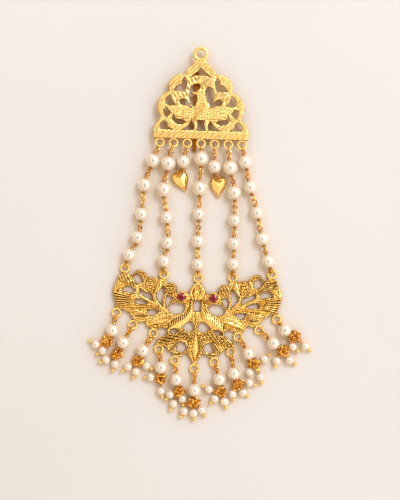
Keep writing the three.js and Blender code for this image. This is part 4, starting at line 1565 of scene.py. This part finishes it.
    # The leaves of the right half that are cut alike on both sides.
    LEAVES = (
        *(
            Band(((26.8, 9.5 - 0.5 * k, 0.24), (30.0, 10.2 - 0.86 * k, 0.42),
                 (33.6, 11.0 - 1.12 * k, 0.44)), 1.75)
            for k in range(6)
        ),
        boss(26.6, 8.3, 1.7, 1.6, grain=0.28),
        boss(21.3, 3.1, 1.2, 1.4, grain=0.28),
        Band(((22.0, 3.2, 0.9), (24.4, 3.6, 0.9), (27.6, 3.3, 0.2)), 1.65),
        Band(((19.8, 1.9, 0.5), (22.0, 1.7, 0.7), (24.6, 1.8, 0.5)), 1.15, FLAT),
        Band(((19.8, 0.9, 0.5), (22.9, 0.6, 0.7), (24.9, -0.2, 0.5)), 1.5, RIDGE),
        Band(((20.9, 17.6, 0.6), (21.7, 19.0, 0.7), (23.3, 19.6, 0.75), (25.2, 18.9, 0.6),
             (26.4, 17.2, 0.5)), 1.75, RIDGE),
        Band(((21.6, 18.3, 0.8), (22.7, 17.3, 0.2)), 1.9, RIDGE),
        Band(((1.6, -6.8, 0.7), (4.0, -5.2, 2.0), (7.0, -3.2, 0.6)), 1.7, FLAT,
             Cuts(1.15, 0.42, share=0.45, heading=-48)),
        Band(((6.8, -7.6, 0.4), (8.4, -9.8, 0.95), (10.3, -12.0, 0.2)), 1.6, FLAT),
        Band(((4.0, -12.3, 0.5), (6.4, -12.9, 0.7), (8.4, -13.0, 0.5)), 1.1, FLAT),
        Band(((12.0, -9.4, 0.5), (13.6, -9.2, 0.6), (15.2, -9.0, 0.4)), 1.3, grain=0.2),
    )
    # The petals, cups, lips, rims and spurs that are alike on both sides.
    FLOWERS = (
        Band(((15.0, 16.8, 0.7), (15.4, 14.4, 1.2), (16.2, 12.4, 0.9), (17.3, 11.0, 0.4)), 1.85),
        Band(((18.6, 16.8, 1.2), (19.2, 14.6, 2.2), (18.7, 12.6, 1.7), (17.9, 10.9, 0.5)), 1.5, FLAT,
             grain=0.3),
        Band(((20.8, 16.7, 0.5), (21.6, 15.4, 0.7), (21.1, 13.6, 0.6)), 1.5),
        Band(((31.9, 16.8, 0.6), (32.4, 14.2, 0.9), (32.9, 11.8, 0.8)), 1.4),
        Band(((28.6, 13.9, 0.6), (30.8, 13.2, 0.8), (32.8, 11.8, 0.6)), 1.6, RIDGE),
    )
    # What differs from side to side: the rosettes, the upper corners and the lower leaves.
    ROSETTE = ((10.4, 13.1, 2.15), (11.3, 13.1, 2.15))
    LOWER_LEAF = ((6.2, -5.4, 0.9), (9.2, -6.2, 2.1), (12.4, -7.5, 2.0), (15.4, -8.9, 0.7))
    ODD = (
        Band(ROSETTE, 1.7, FLAT, Cuts(1.15, 0.45, share=0.45, heading=-62)),
        Band(ROSETTE, 1.6, grain=0.34).mirrored(),
        Band(((26.2, 16.0, 0.6), (28.4, 17.4, 1.0), (31.2, 18.1, 0.7)), 1.5, grain=0.3),
        Band(((24.6, 13.0, 0.6), (27.0, 14.9, 0.75), (29.8, 16.3, 0.7), (32.2, 17.0, 0.5)), 1.8, FLAT),
        Band(((26.8, 13.8, 0.4), (29.0, 14.9, 0.6), (32.2, 15.6, 0.5)), 1.7, FLAT),
        Band(((-25.4, 14.4, 0.9), (-28.2, 16.2, 2.0), (-31.6, 16.8, 1.4)), 1.7, FLAT,
             Cuts(1.1, 0.42, share=0.45, heading=-62)),
        Band(LOWER_LEAF, 1.85, FLAT, Cuts(1.2, 0.5, share=0.45, heading=-50)),
        Band(LOWER_LEAF, 1.85, FLAT, Cuts(1.25, 0.5, share=0.5, heading=188)).mirrored(),
    )

    def __post_init__(self) -> None:
        """Finds the plate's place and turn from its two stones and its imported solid."""
        left, _ = middle_of("ruby_left")
        right, _ = middle_of("ruby_right")
        middle, sides = middle_of("lower_plate")
        across = right - left
        self.turn = math.atan2(across[1], across[0])
        eyes = (left + right) / 2
        self.origin = np.array([
            eyes[0] + self.eye[1] * math.sin(self.turn),
            eyes[1] - self.eye[1] * math.cos(self.turn),
            middle[2] - sides[2] / 2,
        ])

    def across(self, rows: Rows) -> list[Pair]:
        """Gives places with their mirror images."""
        places = {(side * u, v) for u, v in rows for side in (-1, 1) if u or side > 0}
        return sorted(places, key=lambda place: self.place(*place, 0)[0])

    def relief(self) -> Relief:
        """Gives the plate's outline, windows and raised work.

        Returns:
            The whole relief.
        """
        half = [*self.BIRD, *self.STEMS, *self.LEAVES]
        bands = [*both_sides(half), *self.CENTRE, *both_sides(self.FLOWERS), *self.ODD]
        return Relief(
            whole_outline(self.EDGE), self.window_outlines(), [], bands, ground=1.05, ground_grain=0.18,
            grain_pitch=0.56, grain_gain=1.5, edge_round=0.28,
        )

    def add_collet(self, shape: Shape, side: int) -> None:
        """Adds one eye's setting: a low cup, two rows of granules and four claws.

        Args:
            shape: The shape that gets the setting.
            side: -1 for the left eye and 1 for the right one.
        """
        radius, rim = self.collet_radius, self.collet_height * 0.7
        centre = self.place(side * self.eye[0], self.eye[1], self.thick - 0.1)
        # The cup's section: radius and height.
        cup = (
            (radius, -0.2), (radius + 0.1, 0.3), (radius - 0.05, rim), (radius - 0.25, rim),
            (radius - 0.35, 0.3), (0.2, 0.2),
        )
        shape.lathe(cup, centre, UP, sides=40)
        # The rows of granules: how many, how far out, how high and how large.
        for count, out, high, size in ((15, radius + 0.28, 0.3, 0.38), (13, radius - 0.05, rim, 0.25)):
            for k in range(count):
                angle = math.tau * (k + 0.3 * side) / count
                granule = centre + np.array([math.cos(angle) * out, math.sin(angle) * out, high])
                shape.ball(granule, size * (1 + 0.15 * math.sin(5 * k)), sides=8)
        # A claw's foot, bend and tip: how far out, how high and its radius.
        claw = (
            (radius + 0.1, 0.5, 0.24), (radius - 0.1, self.collet_height - 0.05, 0.24),
            (radius - 0.5, self.collet_height + 0.08, 0.18),
        )
        for k in range(4):
            angle = math.pi / 4 + k * math.pi / 2 + 0.2 * side
            out = np.array([math.cos(angle), math.sin(angle), 0.0])
            line = [centre + out * reach + UP * high for reach, high, _ in claw]
            shape.tube(np.array(line), np.array([wire for _, _, wire in claw]), sides=8)

    def build(self) -> None:
        """Builds the plate with its settings and its beaded loops."""
        shape = Shape()
        self.relief().add_to(shape, self.place)
        for side in (-1, 1):
            self.add_collet(shape, side)
        self.add_loops(shape, self.across([*self.STRAND_LOOPS, *self.DROP_LOOPS]))
        dress(shape.build("bird_plate"), self.finishes.chased, Slot.GOLD, "lower_plate")


# ---- stones and pearls


@dataclass
class Ruby(Part):
    """A round stone with a table, two rows of crown facets and a pavilion."""

    node: str
    reach: float = 1.1  # its width over its solid's, which brings it to its claws
    facets: int = 8
    turn: float = 0.3  # radians

    # The stone's rings from the table down: radius over the girdle's, height over the whole height,
    # and the turn in facets.
    RINGS = (
        (0.56, 1.0, 0.0), (0.8, 0.86, 0.5), (1.0, 0.61, 0.0), (1.0, 0.51, 0.0), (0.45, 0.2, 0.5),
        (0.08, 0.0, 0.0),
    )
    GIRDLE = 2  # the ring from which the wall runs straight down

    def build(self) -> None:
        """Builds the cut stone in its solid's box."""
        middle, sides = middle_of(self.node)
        radius, height, count = sides[0] / 2 * self.reach, sides[2], self.facets
        low = middle[2] - height / 2
        rings = []
        for share, rise, shift in self.RINGS:
            angles = (np.arange(count) + shift) * (math.tau / count) + self.turn
            x = middle[0] + radius * share * np.cos(angles)
            y = middle[1] + radius * share * np.sin(angles)
            rings.append(np.stack([x, y, np.full(count, low + height * rise)], -1))
        faces: list[Face] = [tuple(range(count))]
        for k in range(len(rings) - 1):
            upper, lower, shift = k * count, (k + 1) * count, k % 2
            for n in range(count):
                a, b = upper + n, upper + (n + 1) % count
                if k == self.GIRDLE:
                    faces.append((a, lower + n, lower + (n + 1) % count, b))
                    continue
                c, d = lower + (n + shift) % count, lower + (n + shift - 1) % count
                faces += [(a, d, c), (a, c, b)]
        faces.append(tuple(range(lower + count - 1, lower - 1, -1)))
        stone = Shape()
        stone.add(np.vstack(rings), faces)
        piece = stone.build(self.node.replace("ruby", "stone"), smooth=False)
        dress(piece, self.finishes.ruby, Slot.RUBY, self.node)


def bead_profile(radius: float, bore: float, rows: int) -> list[Pair]:
    """Gives a bead's section: round, with a soft dimple at each end of the bore.

    Args:
        radius: The bead's radius.
        bore: The bore's radius.
        rows: The points from one end of the bore to the other.

    Returns:
        Radius and height of each point.
    """
    start = math.asin(bore / radius)
    turns = np.linspace(start, math.pi - start, rows)
    skin = [(radius * math.sin(a), -radius * math.cos(a)) for a in turns]
    dimple, depth = bore * 0.8, radius * 0.93
    return [(dimple, -depth), *skin, (dimple, depth)]


@dataclass
class Pearl(Part):
    """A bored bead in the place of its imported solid."""

    node: str
    bore: float = 0.42
    lacquer: float = 1.03  # the finished bead over its solid
    rows: int = 26
    sides: int = 44

    def __post_init__(self) -> None:
        """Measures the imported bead."""
        self.centre, sides = middle_of(self.node)
        self.radius = sides[2] / 2 * self.lacquer
        self.centre[2] += self.radius - sides[2] / 2

    def build(self, way: Array) -> None:
        """Builds the bead.

        Args:
            way: The direction of its bore.
        """
        bead = Shape()
        profile = bead_profile(self.radius, self.bore, self.rows)
        bead.lathe(profile, self.centre, way, self.sides)
        dress(bead.build(f"{self.node}_bead"), self.finishes.pearl, Slot.PEARL, self.node)


@dataclass
class Thread(Part):
    """Pearls on wire between two loops, or below one."""

    nodes: list[str]
    start: Array  # the middle of the loop that it hangs from
    end: Array | None = None  # the middle of the loop that it holds
    loop_hold: float = 0.62  # how far from a loop's middle its ring reaches in

    def build(self, shape: Shape) -> Array:
        """Builds the pearls and adds the wire to a shape.

        Args:
            shape: The shape that gets the wire.

        Returns:
            The place below the last coil.
        """
        wires = self.wires
        pearls = [Pearl(*self.kit, node) for node in self.nodes]
        stops = [self.start, *(p.centre for p in pearls), *([] if self.end is None else [self.end])]
        here = self.start + level(self.start, pearls[0].centre) * self.loop_hold
        for k, pearl in enumerate(pearls):
            way = level(stops[k], stops[min(k + 2, len(stops) - 1)])
            pearl.build(way)
            above = wires.coil(shape, pearl.centre - way * pearl.radius, -way)
            wires.link(shape, here, above + level(here, above) * wires.wire)
            here = wires.coil(shape, pearl.centre + way * pearl.radius, way) - way * wires.wire
        if self.end is not None:
            hold = self.end - level(here, self.end) * self.loop_hold
            wires.link(shape, here, hold, flat_first=True)
        return here


# ---- hearts and clusters


@dataclass
class HeartDrop(Part):
    """A short drop: one pearl and a puffed, faceted heart."""

    side: str
    loop: Array
    offset: Pair  # from the pearl's middle to the heart's
    turn: float  # degrees
    wide: float = 6.7
    high: float = 9.2
    thick: float = 2.6
    taper: float = 0.45  # the last point before the tip, over the half width and height
    dent: float = 0.06  # how unevenly the front's edge was pressed
    dent_turn: float = 2.3  # radians of that unevenness from one point to the next
    worn_edge: float = 0.07  # the width of an edge that wear has rounded
    facet_angle: float = 12.0  # degrees from which an edge counts as one
    eye: Pair = (0.27, 0.35)  # the eye's place, over the height and the thickness
    crowd: Pair = (0.7, 0.3)  # the crowd of rings, beyond the eye and above it

    # A lobe from the notch: how far out and how far down from the top, over the half width.
    LOBE = ((0.0, 0.62), (0.16, 0.2), (0.5, 0.0), (0.86, 0.2), (1.0, 0.75), (0.86, 1.5))
    # The rows of bevels: the margin in millimetres, and the height over the thickness.
    LAYERS = ((0.75, -0.5), (0.15, -0.28), (0.0, 0.0), (0.75, 0.27))
    # The ridge's ends: how far down, over the height, and how far up, over the thickness.
    RIDGE = ((-0.08, 0.5), (0.3, 0.4))

    def outline(self, inset: float) -> Array:
        """Gives the heart's outline, drawn in by a margin.

        Args:
            inset: The margin in millimetres.

        Returns:
            The points from the notch round to the notch.
        """
        half, top = self.wide / 2 - inset, self.high / 2 - inset * 1.1
        right = [(half * out, top - half * down) for out, down in self.LOBE]
        right += [(half * self.taper, -top * self.taper), (0.0, -top)]
        return np.array([*right, *((-x, y) for x, y in reversed(right[1:-1]))])

    def layer(self, centre: Array, inset: float, rise: float) -> Array:
        """Gives one turned outline of the heart.

        Args:
            centre: The heart's middle.
            inset: The outline's margin in millimetres.
            rise: Its height over the heart's thickness.

        Returns:
            One x, y and z for each point.
        """
        flat, angle = self.outline(inset), math.radians(self.turn)
        x = flat[:, 0] * math.cos(angle) - flat[:, 1] * math.sin(angle)
        y = flat[:, 0] * math.sin(angle) + flat[:, 1] * math.cos(angle)
        dent = self.dent * np.cos(np.arange(len(x)) * self.dent_turn) if rise > 0 else 0.0
        z = np.full(len(x), centre[2] + self.thick * rise) + dent
        return np.stack([centre[0] + x, centre[1] + y, z], -1)

    def build_heart(self, centre: Array) -> None:
        """Builds the pressed heart: narrow bevels round a broad face with a ridge down it.

        Args:
            centre: The heart's middle.
        """
        rings = [self.layer(centre, *row) for row in self.LAYERS]
        count, last = len(rings[0]), (len(rings) - 1) * len(rings[0])
        angle = math.radians(self.turn)
        down = np.array([math.sin(angle), -math.cos(angle), 0.0])
        ridge = [
            centre + down * reach * self.high + np.array([0.0, 0.0, self.thick * rise])
            for reach, rise in self.RIDGE
        ]
        points = np.vstack([*rings, *ridge, centre - np.array([0, 0, self.thick / 2])])
        upper, lower, base = last + count, last + count + 1, last + count + 2
        by_tip = [n for n in range(count) if abs(n + 0.5 - count / 2) < count / 4 - 0.6]
        faces: list[Face] = []
        for k in range(len(rings) - 1):
            for n in range(count):
                a, b = k * count + n, k * count + (n + 1) % count
                faces.append((a, a + count, b + count, b))
        for n in range(count):
            after = (n + 1) % count
            faces.append((last + n, lower if n in by_tip else upper, last + after))
            faces.append((n, after, base))
        faces.append((last + by_tip[0], upper, lower))
        faces.append((last + by_tip[-1] + 1, lower, upper))
        heart = Shape()
        heart.add(points, [tuple(reversed(face)) for face in faces])
        piece = heart.build(f"puffed_heart_{self.side}", smooth=False)
        edges = piece.modifiers.new("worn_edges", "BEVEL")
        edges.width = self.worn_edge * MM
        edges.segments = 2
        edges.limit_method = "ANGLE"
        edges.angle_limit = math.radians(self.facet_angle)
        dress(piece, self.finishes.polished, Slot.GOLD, f"heart_drop_{self.side}")

    def build(self) -> None:
        """Builds the drop below its loop."""
        shape = Shape()
        node = f"heart_pearl_{self.side}"
        below = Thread(*self.kit, [node], self.loop).build(shape)
        pearl, _ = middle_of(node)
        heart = np.array([pearl[0] + self.offset[0], pearl[1] + self.offset[1], self.thick / 2])
        angle = math.radians(self.turn)
        up = np.array([-math.sin(angle), math.cos(angle), 0.0])
        out, rise = self.eye
        eye = heart + up * self.high * out + np.array([0.0, 0.0, self.thick * rise])
        self.wires.link(shape, below, eye, flat_first=True)
        beyond, above = self.crowd
        crowd = eye + up * beyond + np.array([0.0, 0.0, above])
        self.wires.tangle(shape, crowd, reach=0.9, count=5, size=0.62)
        dress(shape.build(f"heart_links_{self.side}"), self.finishes.wire, Slot.GOLD)
        self.build_heart(heart)


@dataclass
class Cluster(Part):
    """A drop pearl with a knot of rings under it and small pearls on head pins."""

    number: int
    loop: Array
    knot: Pair  # from the drop pearl's middle
    small: Sequence[Pair]  # small pearls, from the same middle
    balls: Sequence[Pair]  # ball ends of the first of them
    knot_height: float = 1.8
    small_radius: float = 1.68
    small_bore: float = 0.3
    ball_radius: float = 0.8
    pin: float = 0.2  # radius of the pins
    pin_run: float = 0.3  # how far a pin runs on into its pearl
    eye_gap: float = 0.35  # from a small pearl to the middle of its eye
    pin_tail: Pair = (0.55, 0.1)  # the cut end: out from the pearl and to the side
    # The eye loops run from the pin this much less than the way to the knot, but at least so far.
    short_of_knot: float = 1.1
    least_reach: float = 1.5
    into_knot: float = 0.4  # how far the drop's own rings reach into the knot
    knot_pull: float = 0.4  # how much a small pearl's bore points at the knot, against its ball

    # Collars of wire: how far beyond a pearl, their radius and their wire's.
    EYE_COLLAR = (-0.1, 0.34, 0.16)
    BALL_COLLAR = (0.08, 0.3, 0.15)

    def collar(self, shape: Shape, mouth: Array, way: Array, form: Sequence[float]) -> None:
        """Adds a small ring of wire round a pin, at the mouth of a pearl's bore."""
        beyond, size, wire = form
        shape.ring(mouth + way * beyond, way, UP, size, size, wire, steps=14, sides=6)

    def build(self) -> None:
        """Builds the drop from its loop to its ball ends."""
        finishes, wires = self.kit
        gold, pearls, ends = Shape(), Shape(), Shape()
        node = f"drop_pearl_{self.number}"
        below = Thread(*self.kit, [node], self.loop).build(gold)
        middle, _ = middle_of(node)

        def at(offset: Pair, high: float) -> Array:
            """Takes an offset from the drop pearl to the row frame."""
            return np.array([middle[0] + offset[0], middle[1] + offset[1], high])

        knot = at(self.knot, self.knot_height)
        wires.link(gold, below, knot + level(below, knot) * self.into_knot, flat_first=True)
        wires.tangle(gold, knot, reach=1.85, count=17, size=0.95)
        profile = bead_profile(self.small_radius, self.small_bore, rows=18)
        for k, offset in enumerate(self.small):
            centre = at(offset, self.small_radius)
            ball = at(self.balls[k], self.small_radius) if k < len(self.balls) else None
            way = level(knot, centre)
            if ball is not None:
                way = unit(way * self.knot_pull + level(centre, ball))
            inner, outer = centre - way * self.small_radius, centre + way * self.small_radius
            pearls.lathe(profile, centre, way, sides=30)
            to_knot, eye = level(inner, knot), inner - way * self.eye_gap
            tail = inner - way * self.pin_tail[0] + to_knot * self.pin_tail[1]
            gold.tube(np.array([inner + way * self.pin_run, eye, tail]), self.pin, sides=6)
            gap = float(np.linalg.norm((knot - inner)[:2]))
            reach = max(self.least_reach, gap - self.short_of_knot)
            wires.link(gold, eye, eye + to_knot * reach, flat_first=k % 2 == 0)
            self.collar(gold, inner, way, self.EYE_COLLAR)
            if ball is not None:
                ends.tube(np.array([outer - way * self.pin_run, outer, ball]), self.pin, sides=6)
                ends.ball(ball, self.ball_radius, 18, way)
                self.collar(gold, outer, way, self.BALL_COLLAR)
        wire = gold.build(f"cluster_wire_{self.number}")
        dress(wire, finishes.knots, Slot.FINE_GOLD, f"pearl_cluster_{self.number}")
        dress(pearls.build(f"cluster_pearls_{self.number}"), finishes.pearl, Slot.PEARL)
        dress(ends.build(f"head_pins_{self.number}"), finishes.polished, Slot.FINE_GOLD)


# Each drop, from its pearl's middle: the knot, the small pearls, and the ball ends of the first of
# them.
CLUSTERS = (
    ((-2.3, -4.3), ((-6.8, -5.7), (-4.1, -8.2)), ((-9.1, -4.3), (-6.3, -9.6))),
    ((-2.6, -4.2), ((-7.0, -6.9), (-3.4, -8.7)), ((-9.4, -7.9), (-4.4, -11.3))),
    ((-1.9, -4.2), ((-6.1, -6.5), (-2.9, -8.5), (1.3, -6.1)), ((-8.3, -8.2), (-4.2, -10.9), (3.3, -7.3))),
    ((-0.1, -4.7), ((-4.2, -4.0), (-0.1, -9.5)), ((-6.5, -4.0), (0.3, -11.8))),
    ((1.0, -5.0), ((-2.6, -6.1), (-1.2, -9.8), (3.0, -12.7), (2.4, -7.8)),
     ((-4.2, -8.1), (-2.3, -12.1), (1.7, -15.0))),
    ((-0.3, -4.8), ((-0.4, -9.3), (2.8, -8.1)), ((-0.2, -11.7), (4.0, -10.4))),
    ((0.4, -5.1), ((-4.2, -4.1), (-1.9, -7.8), (2.0, -9.0)), ((-6.6, -2.8), (-3.5, -9.7), (2.5, -11.4))),
    ((1.5, -4.5), ((-0.6, -8.4), (3.6, -7.7), (6.2, -3.9)), ((-0.2, -10.6), (5.4, -9.1), (8.5, -4.8))),
    ((2.0, -4.1), ((6.4, -2.4), (4.8, -9.6), (0.5, -7.6)), ((8.4, -0.6), (5.2, -12.0))),
    ((4.0, -3.0), ((1.3, -7.1), (6.5, -6.9)), ((0.6, -9.5), (8.6, -8.4))),
    ((4.2, -2.4), ((3.2, -6.7), (8.1, -6.5)), ((5.2, -8.5), (9.9, -8.1))),
)


# ---- the studio


@dataclass
class Studio:
    """The table top, the light and the camera over the ornament."""

    lens: float = 85.0
    sensor: float = 36.0
    view_long: float = 200.0  # millimetres of the table along the view's longer side
    look_at: Pair = (0.05, -6.33)
    focus_height: float = 2.5  # the pearls' middles
    table: float = 6.0  # metres
    key_place: tuple[float, float, float] = (0.7, 0.74, 1.3)  # metres
    key_size: Pair = (0.6, 0.6)
    key_radiance: float = 11.0
    key_colour: str = "EAF2FF"
    tent_way: tuple[float, float, float] = (0.5, 0.14, 0.86)  # towards the tent's bright side
    tent_dark: str = "B29064"
    tent_bright: str = "FFECD4"
    tent_range: Pair = (-0.1, 0.82)
    tent_strength: float = 1.68
    body_size: Pair = (0.33, 0.58)  # metres
    body_shift: float = -0.05  # metres down from the lens
    body_lift: float = 40  # millimetres more than the camera's distance

    @property
    def distance(self) -> float:
        """Gives the camera's distance from the focus, in millimetres."""
        return self.view_long * self.lens / self.sensor

    def build_camera(self) -> None:
        """Hangs the camera straight over the ornament."""
        data = bpy.data.cameras.new("camera")
        data.lens, data.sensor_width = self.lens, self.sensor
        data.clip_start = 0.01
        camera = bpy.data.objects.new("camera", data)
        x, y = self.look_at
        camera.location = (x * MM, y * MM, (self.distance + self.focus_height) * MM)
        bpy.context.scene.collection.objects.link(camera)
        bpy.context.scene.camera = camera

    def build_key(self) -> None:
        """Hangs the key softbox at the upper right, facing the ornament."""
        wide, high = self.key_size
        data = bpy.data.lights.new("key_softbox", "AREA")
        data.shape, data.size, data.size_y = "RECTANGLE", wide, high
        data.energy = self.key_radiance * math.pi * wide * high
        data.color = linear(self.key_colour)[:3]
        lamp = bpy.data.objects.new("key_softbox", data)
        lamp.location = self.key_place
        lamp.rotation_euler = (-Vector(self.key_place)).to_track_quat("-Z", "Y").to_euler()
        lamp.visible_camera = False
        bpy.context.scene.collection.objects.link(lamp)

    def build_world(self) -> None:
        """Gives the tent over the table, bright at the key's side, dark and warm opposite."""
        world = bpy.data.worlds.new("light_tent")
        world.use_nodes = True
        tree = world.node_tree
        way = add_node(tree, "ShaderNodeTexCoord").outputs["Generated"]
        lean = add_node(
            tree, "ShaderNodeVectorMath", {0: way, 1: self.tent_way}, operation="DOT_PRODUCT",
        ).outputs["Value"]
        low, high = self.tent_range
        amount = add_node(
            tree, "ShaderNodeMapRange", {"Value": lean, "From Min": low, "From Max": high},
        ).outputs[0]
        colours = {"Factor": amount, 6: linear(self.tent_dark), 7: linear(self.tent_bright)}
        tone = add_node(tree, "ShaderNodeMix", colours, data_type="RGBA").outputs[2]
        fill(tree, tree.nodes["Background"], {"Color": tone, "Strength": self.tent_strength})
        bpy.context.scene.world = world

    def add_panel(
        self, name: str, place: Sequence[float], size: Pair, material: Material,
    ) -> bpy.types.Object:
        """Adds a flat level panel of the setting.

        Args:
            name: The panel's name.
            place: Its middle, in metres.
            size: Its width and height, in metres.
            material: Its material.

        Returns:
            The panel.
        """
        x, y, z = place
        wide, high = size[0] / 2, size[1] / 2
        corners = [(x + i * wide, y + j * high, z) for i, j in ((-1, -1), (1, -1), (1, 1), (-1, 1))]
        mesh = bpy.data.meshes.new(name)
        mesh.from_pydata(corners, [], [(0, 1, 2, 3)])
        mesh.materials.append(material)
        panel = bpy.data.objects.new(name, mesh)
        bpy.context.scene.collection.objects.link(panel)
        return panel

    def build(self, finishes: Finishes) -> None:
        """Builds everything round the ornament.

        Args:
            finishes: The ornament's materials.
        """
        bpy.context.scene.view_settings.view_transform = "Standard"
        self.build_camera()
        # The dark camera body, which the pearls mirror as a small upright spot.
        x, y = self.look_at[0] * MM, self.look_at[1] * MM + self.body_shift
        place = (x, y, (self.distance + self.body_lift) * MM)
        leatherette = PlasterFinish("camera_leatherette", "7E6C58", "725F4C").material()
        self.add_panel("camera_body", place, self.body_size, leatherette).visible_camera = False
        self.build_key()
        self.build_world()
        self.add_panel("table_top", (0, 0, 0), (self.table, self.table), finishes.plaster)


# ---- the ornament


@dataclass
class Passa(Part):
    """The whole ornament."""

    strand_loops: tuple[int, ...] = (0, 1, 3, 5, 6)
    pearls_per_strand: int = 5

    # The hearts: side, loop under the bar, place from the pearl's middle, and turn in degrees.
    HEARTS = (("left", 2, (-0.8, -8.0), 24.0), ("right", 4, (1.4, -8.2), -1.0))

    def build(self) -> None:
        """Builds the plates, the stones, the strands, the hearts and the drops."""
        upper, lower = UpperPlate(*self.kit), LowerPlate(*self.kit)
        upper.build()
        lower.build()
        for side in ("left", "right"):
            Ruby(*self.kit, f"ruby_{side}").build()
        self.build_strands(upper, lower)
        for side, loop, offset, turn in self.HEARTS:
            start = upper.loop_centre(*upper.loops[loop])
            HeartDrop(*self.kit, side, start, offset, turn).build()
        starts = [lower.loop_centre(u, v) for u, v in lower.across(lower.DROP_LOOPS)]
        for number, (start, parts) in enumerate(zip(starts, CLUSTERS), 1):
            Cluster(*self.kit, number, start, *parts).build()

    def build_strands(self, upper: UpperPlate, lower: LowerPlate) -> None:
        """Builds the five strands between the plates.

        Args:
            upper: The plate that they hang from.
            lower: The plate that they hold.
        """
        ends = [lower.loop_centre(u, v) for u, v in lower.across(lower.STRAND_LOOPS)]
        for strand, (loop, end) in enumerate(zip(self.strand_loops, ends), 1):
            nodes = [f"strand_{strand}_pearl_{k + 1}" for k in range(self.pearls_per_strand)]
            start, links = upper.loop_centre(*upper.loops[loop]), Shape()
            Thread(*self.kit, nodes, start, end).build(links)
            piece = links.build(f"strand_{strand}_links")
            dress(piece, self.finishes.wire, Slot.FINE_GOLD, f"strand_{strand}_chain")


def main() -> None:
    logging.basicConfig(level=logging.INFO, format="%(name)s: %(message)s")
    for leftover in list(bpy.data.objects):
        bpy.data.objects.remove(leftover)
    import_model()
    finishes = Finishes()
    Studio().build(finishes)
    Passa(finishes, WireWork()).build()


if __name__ == "__main__":
    main()
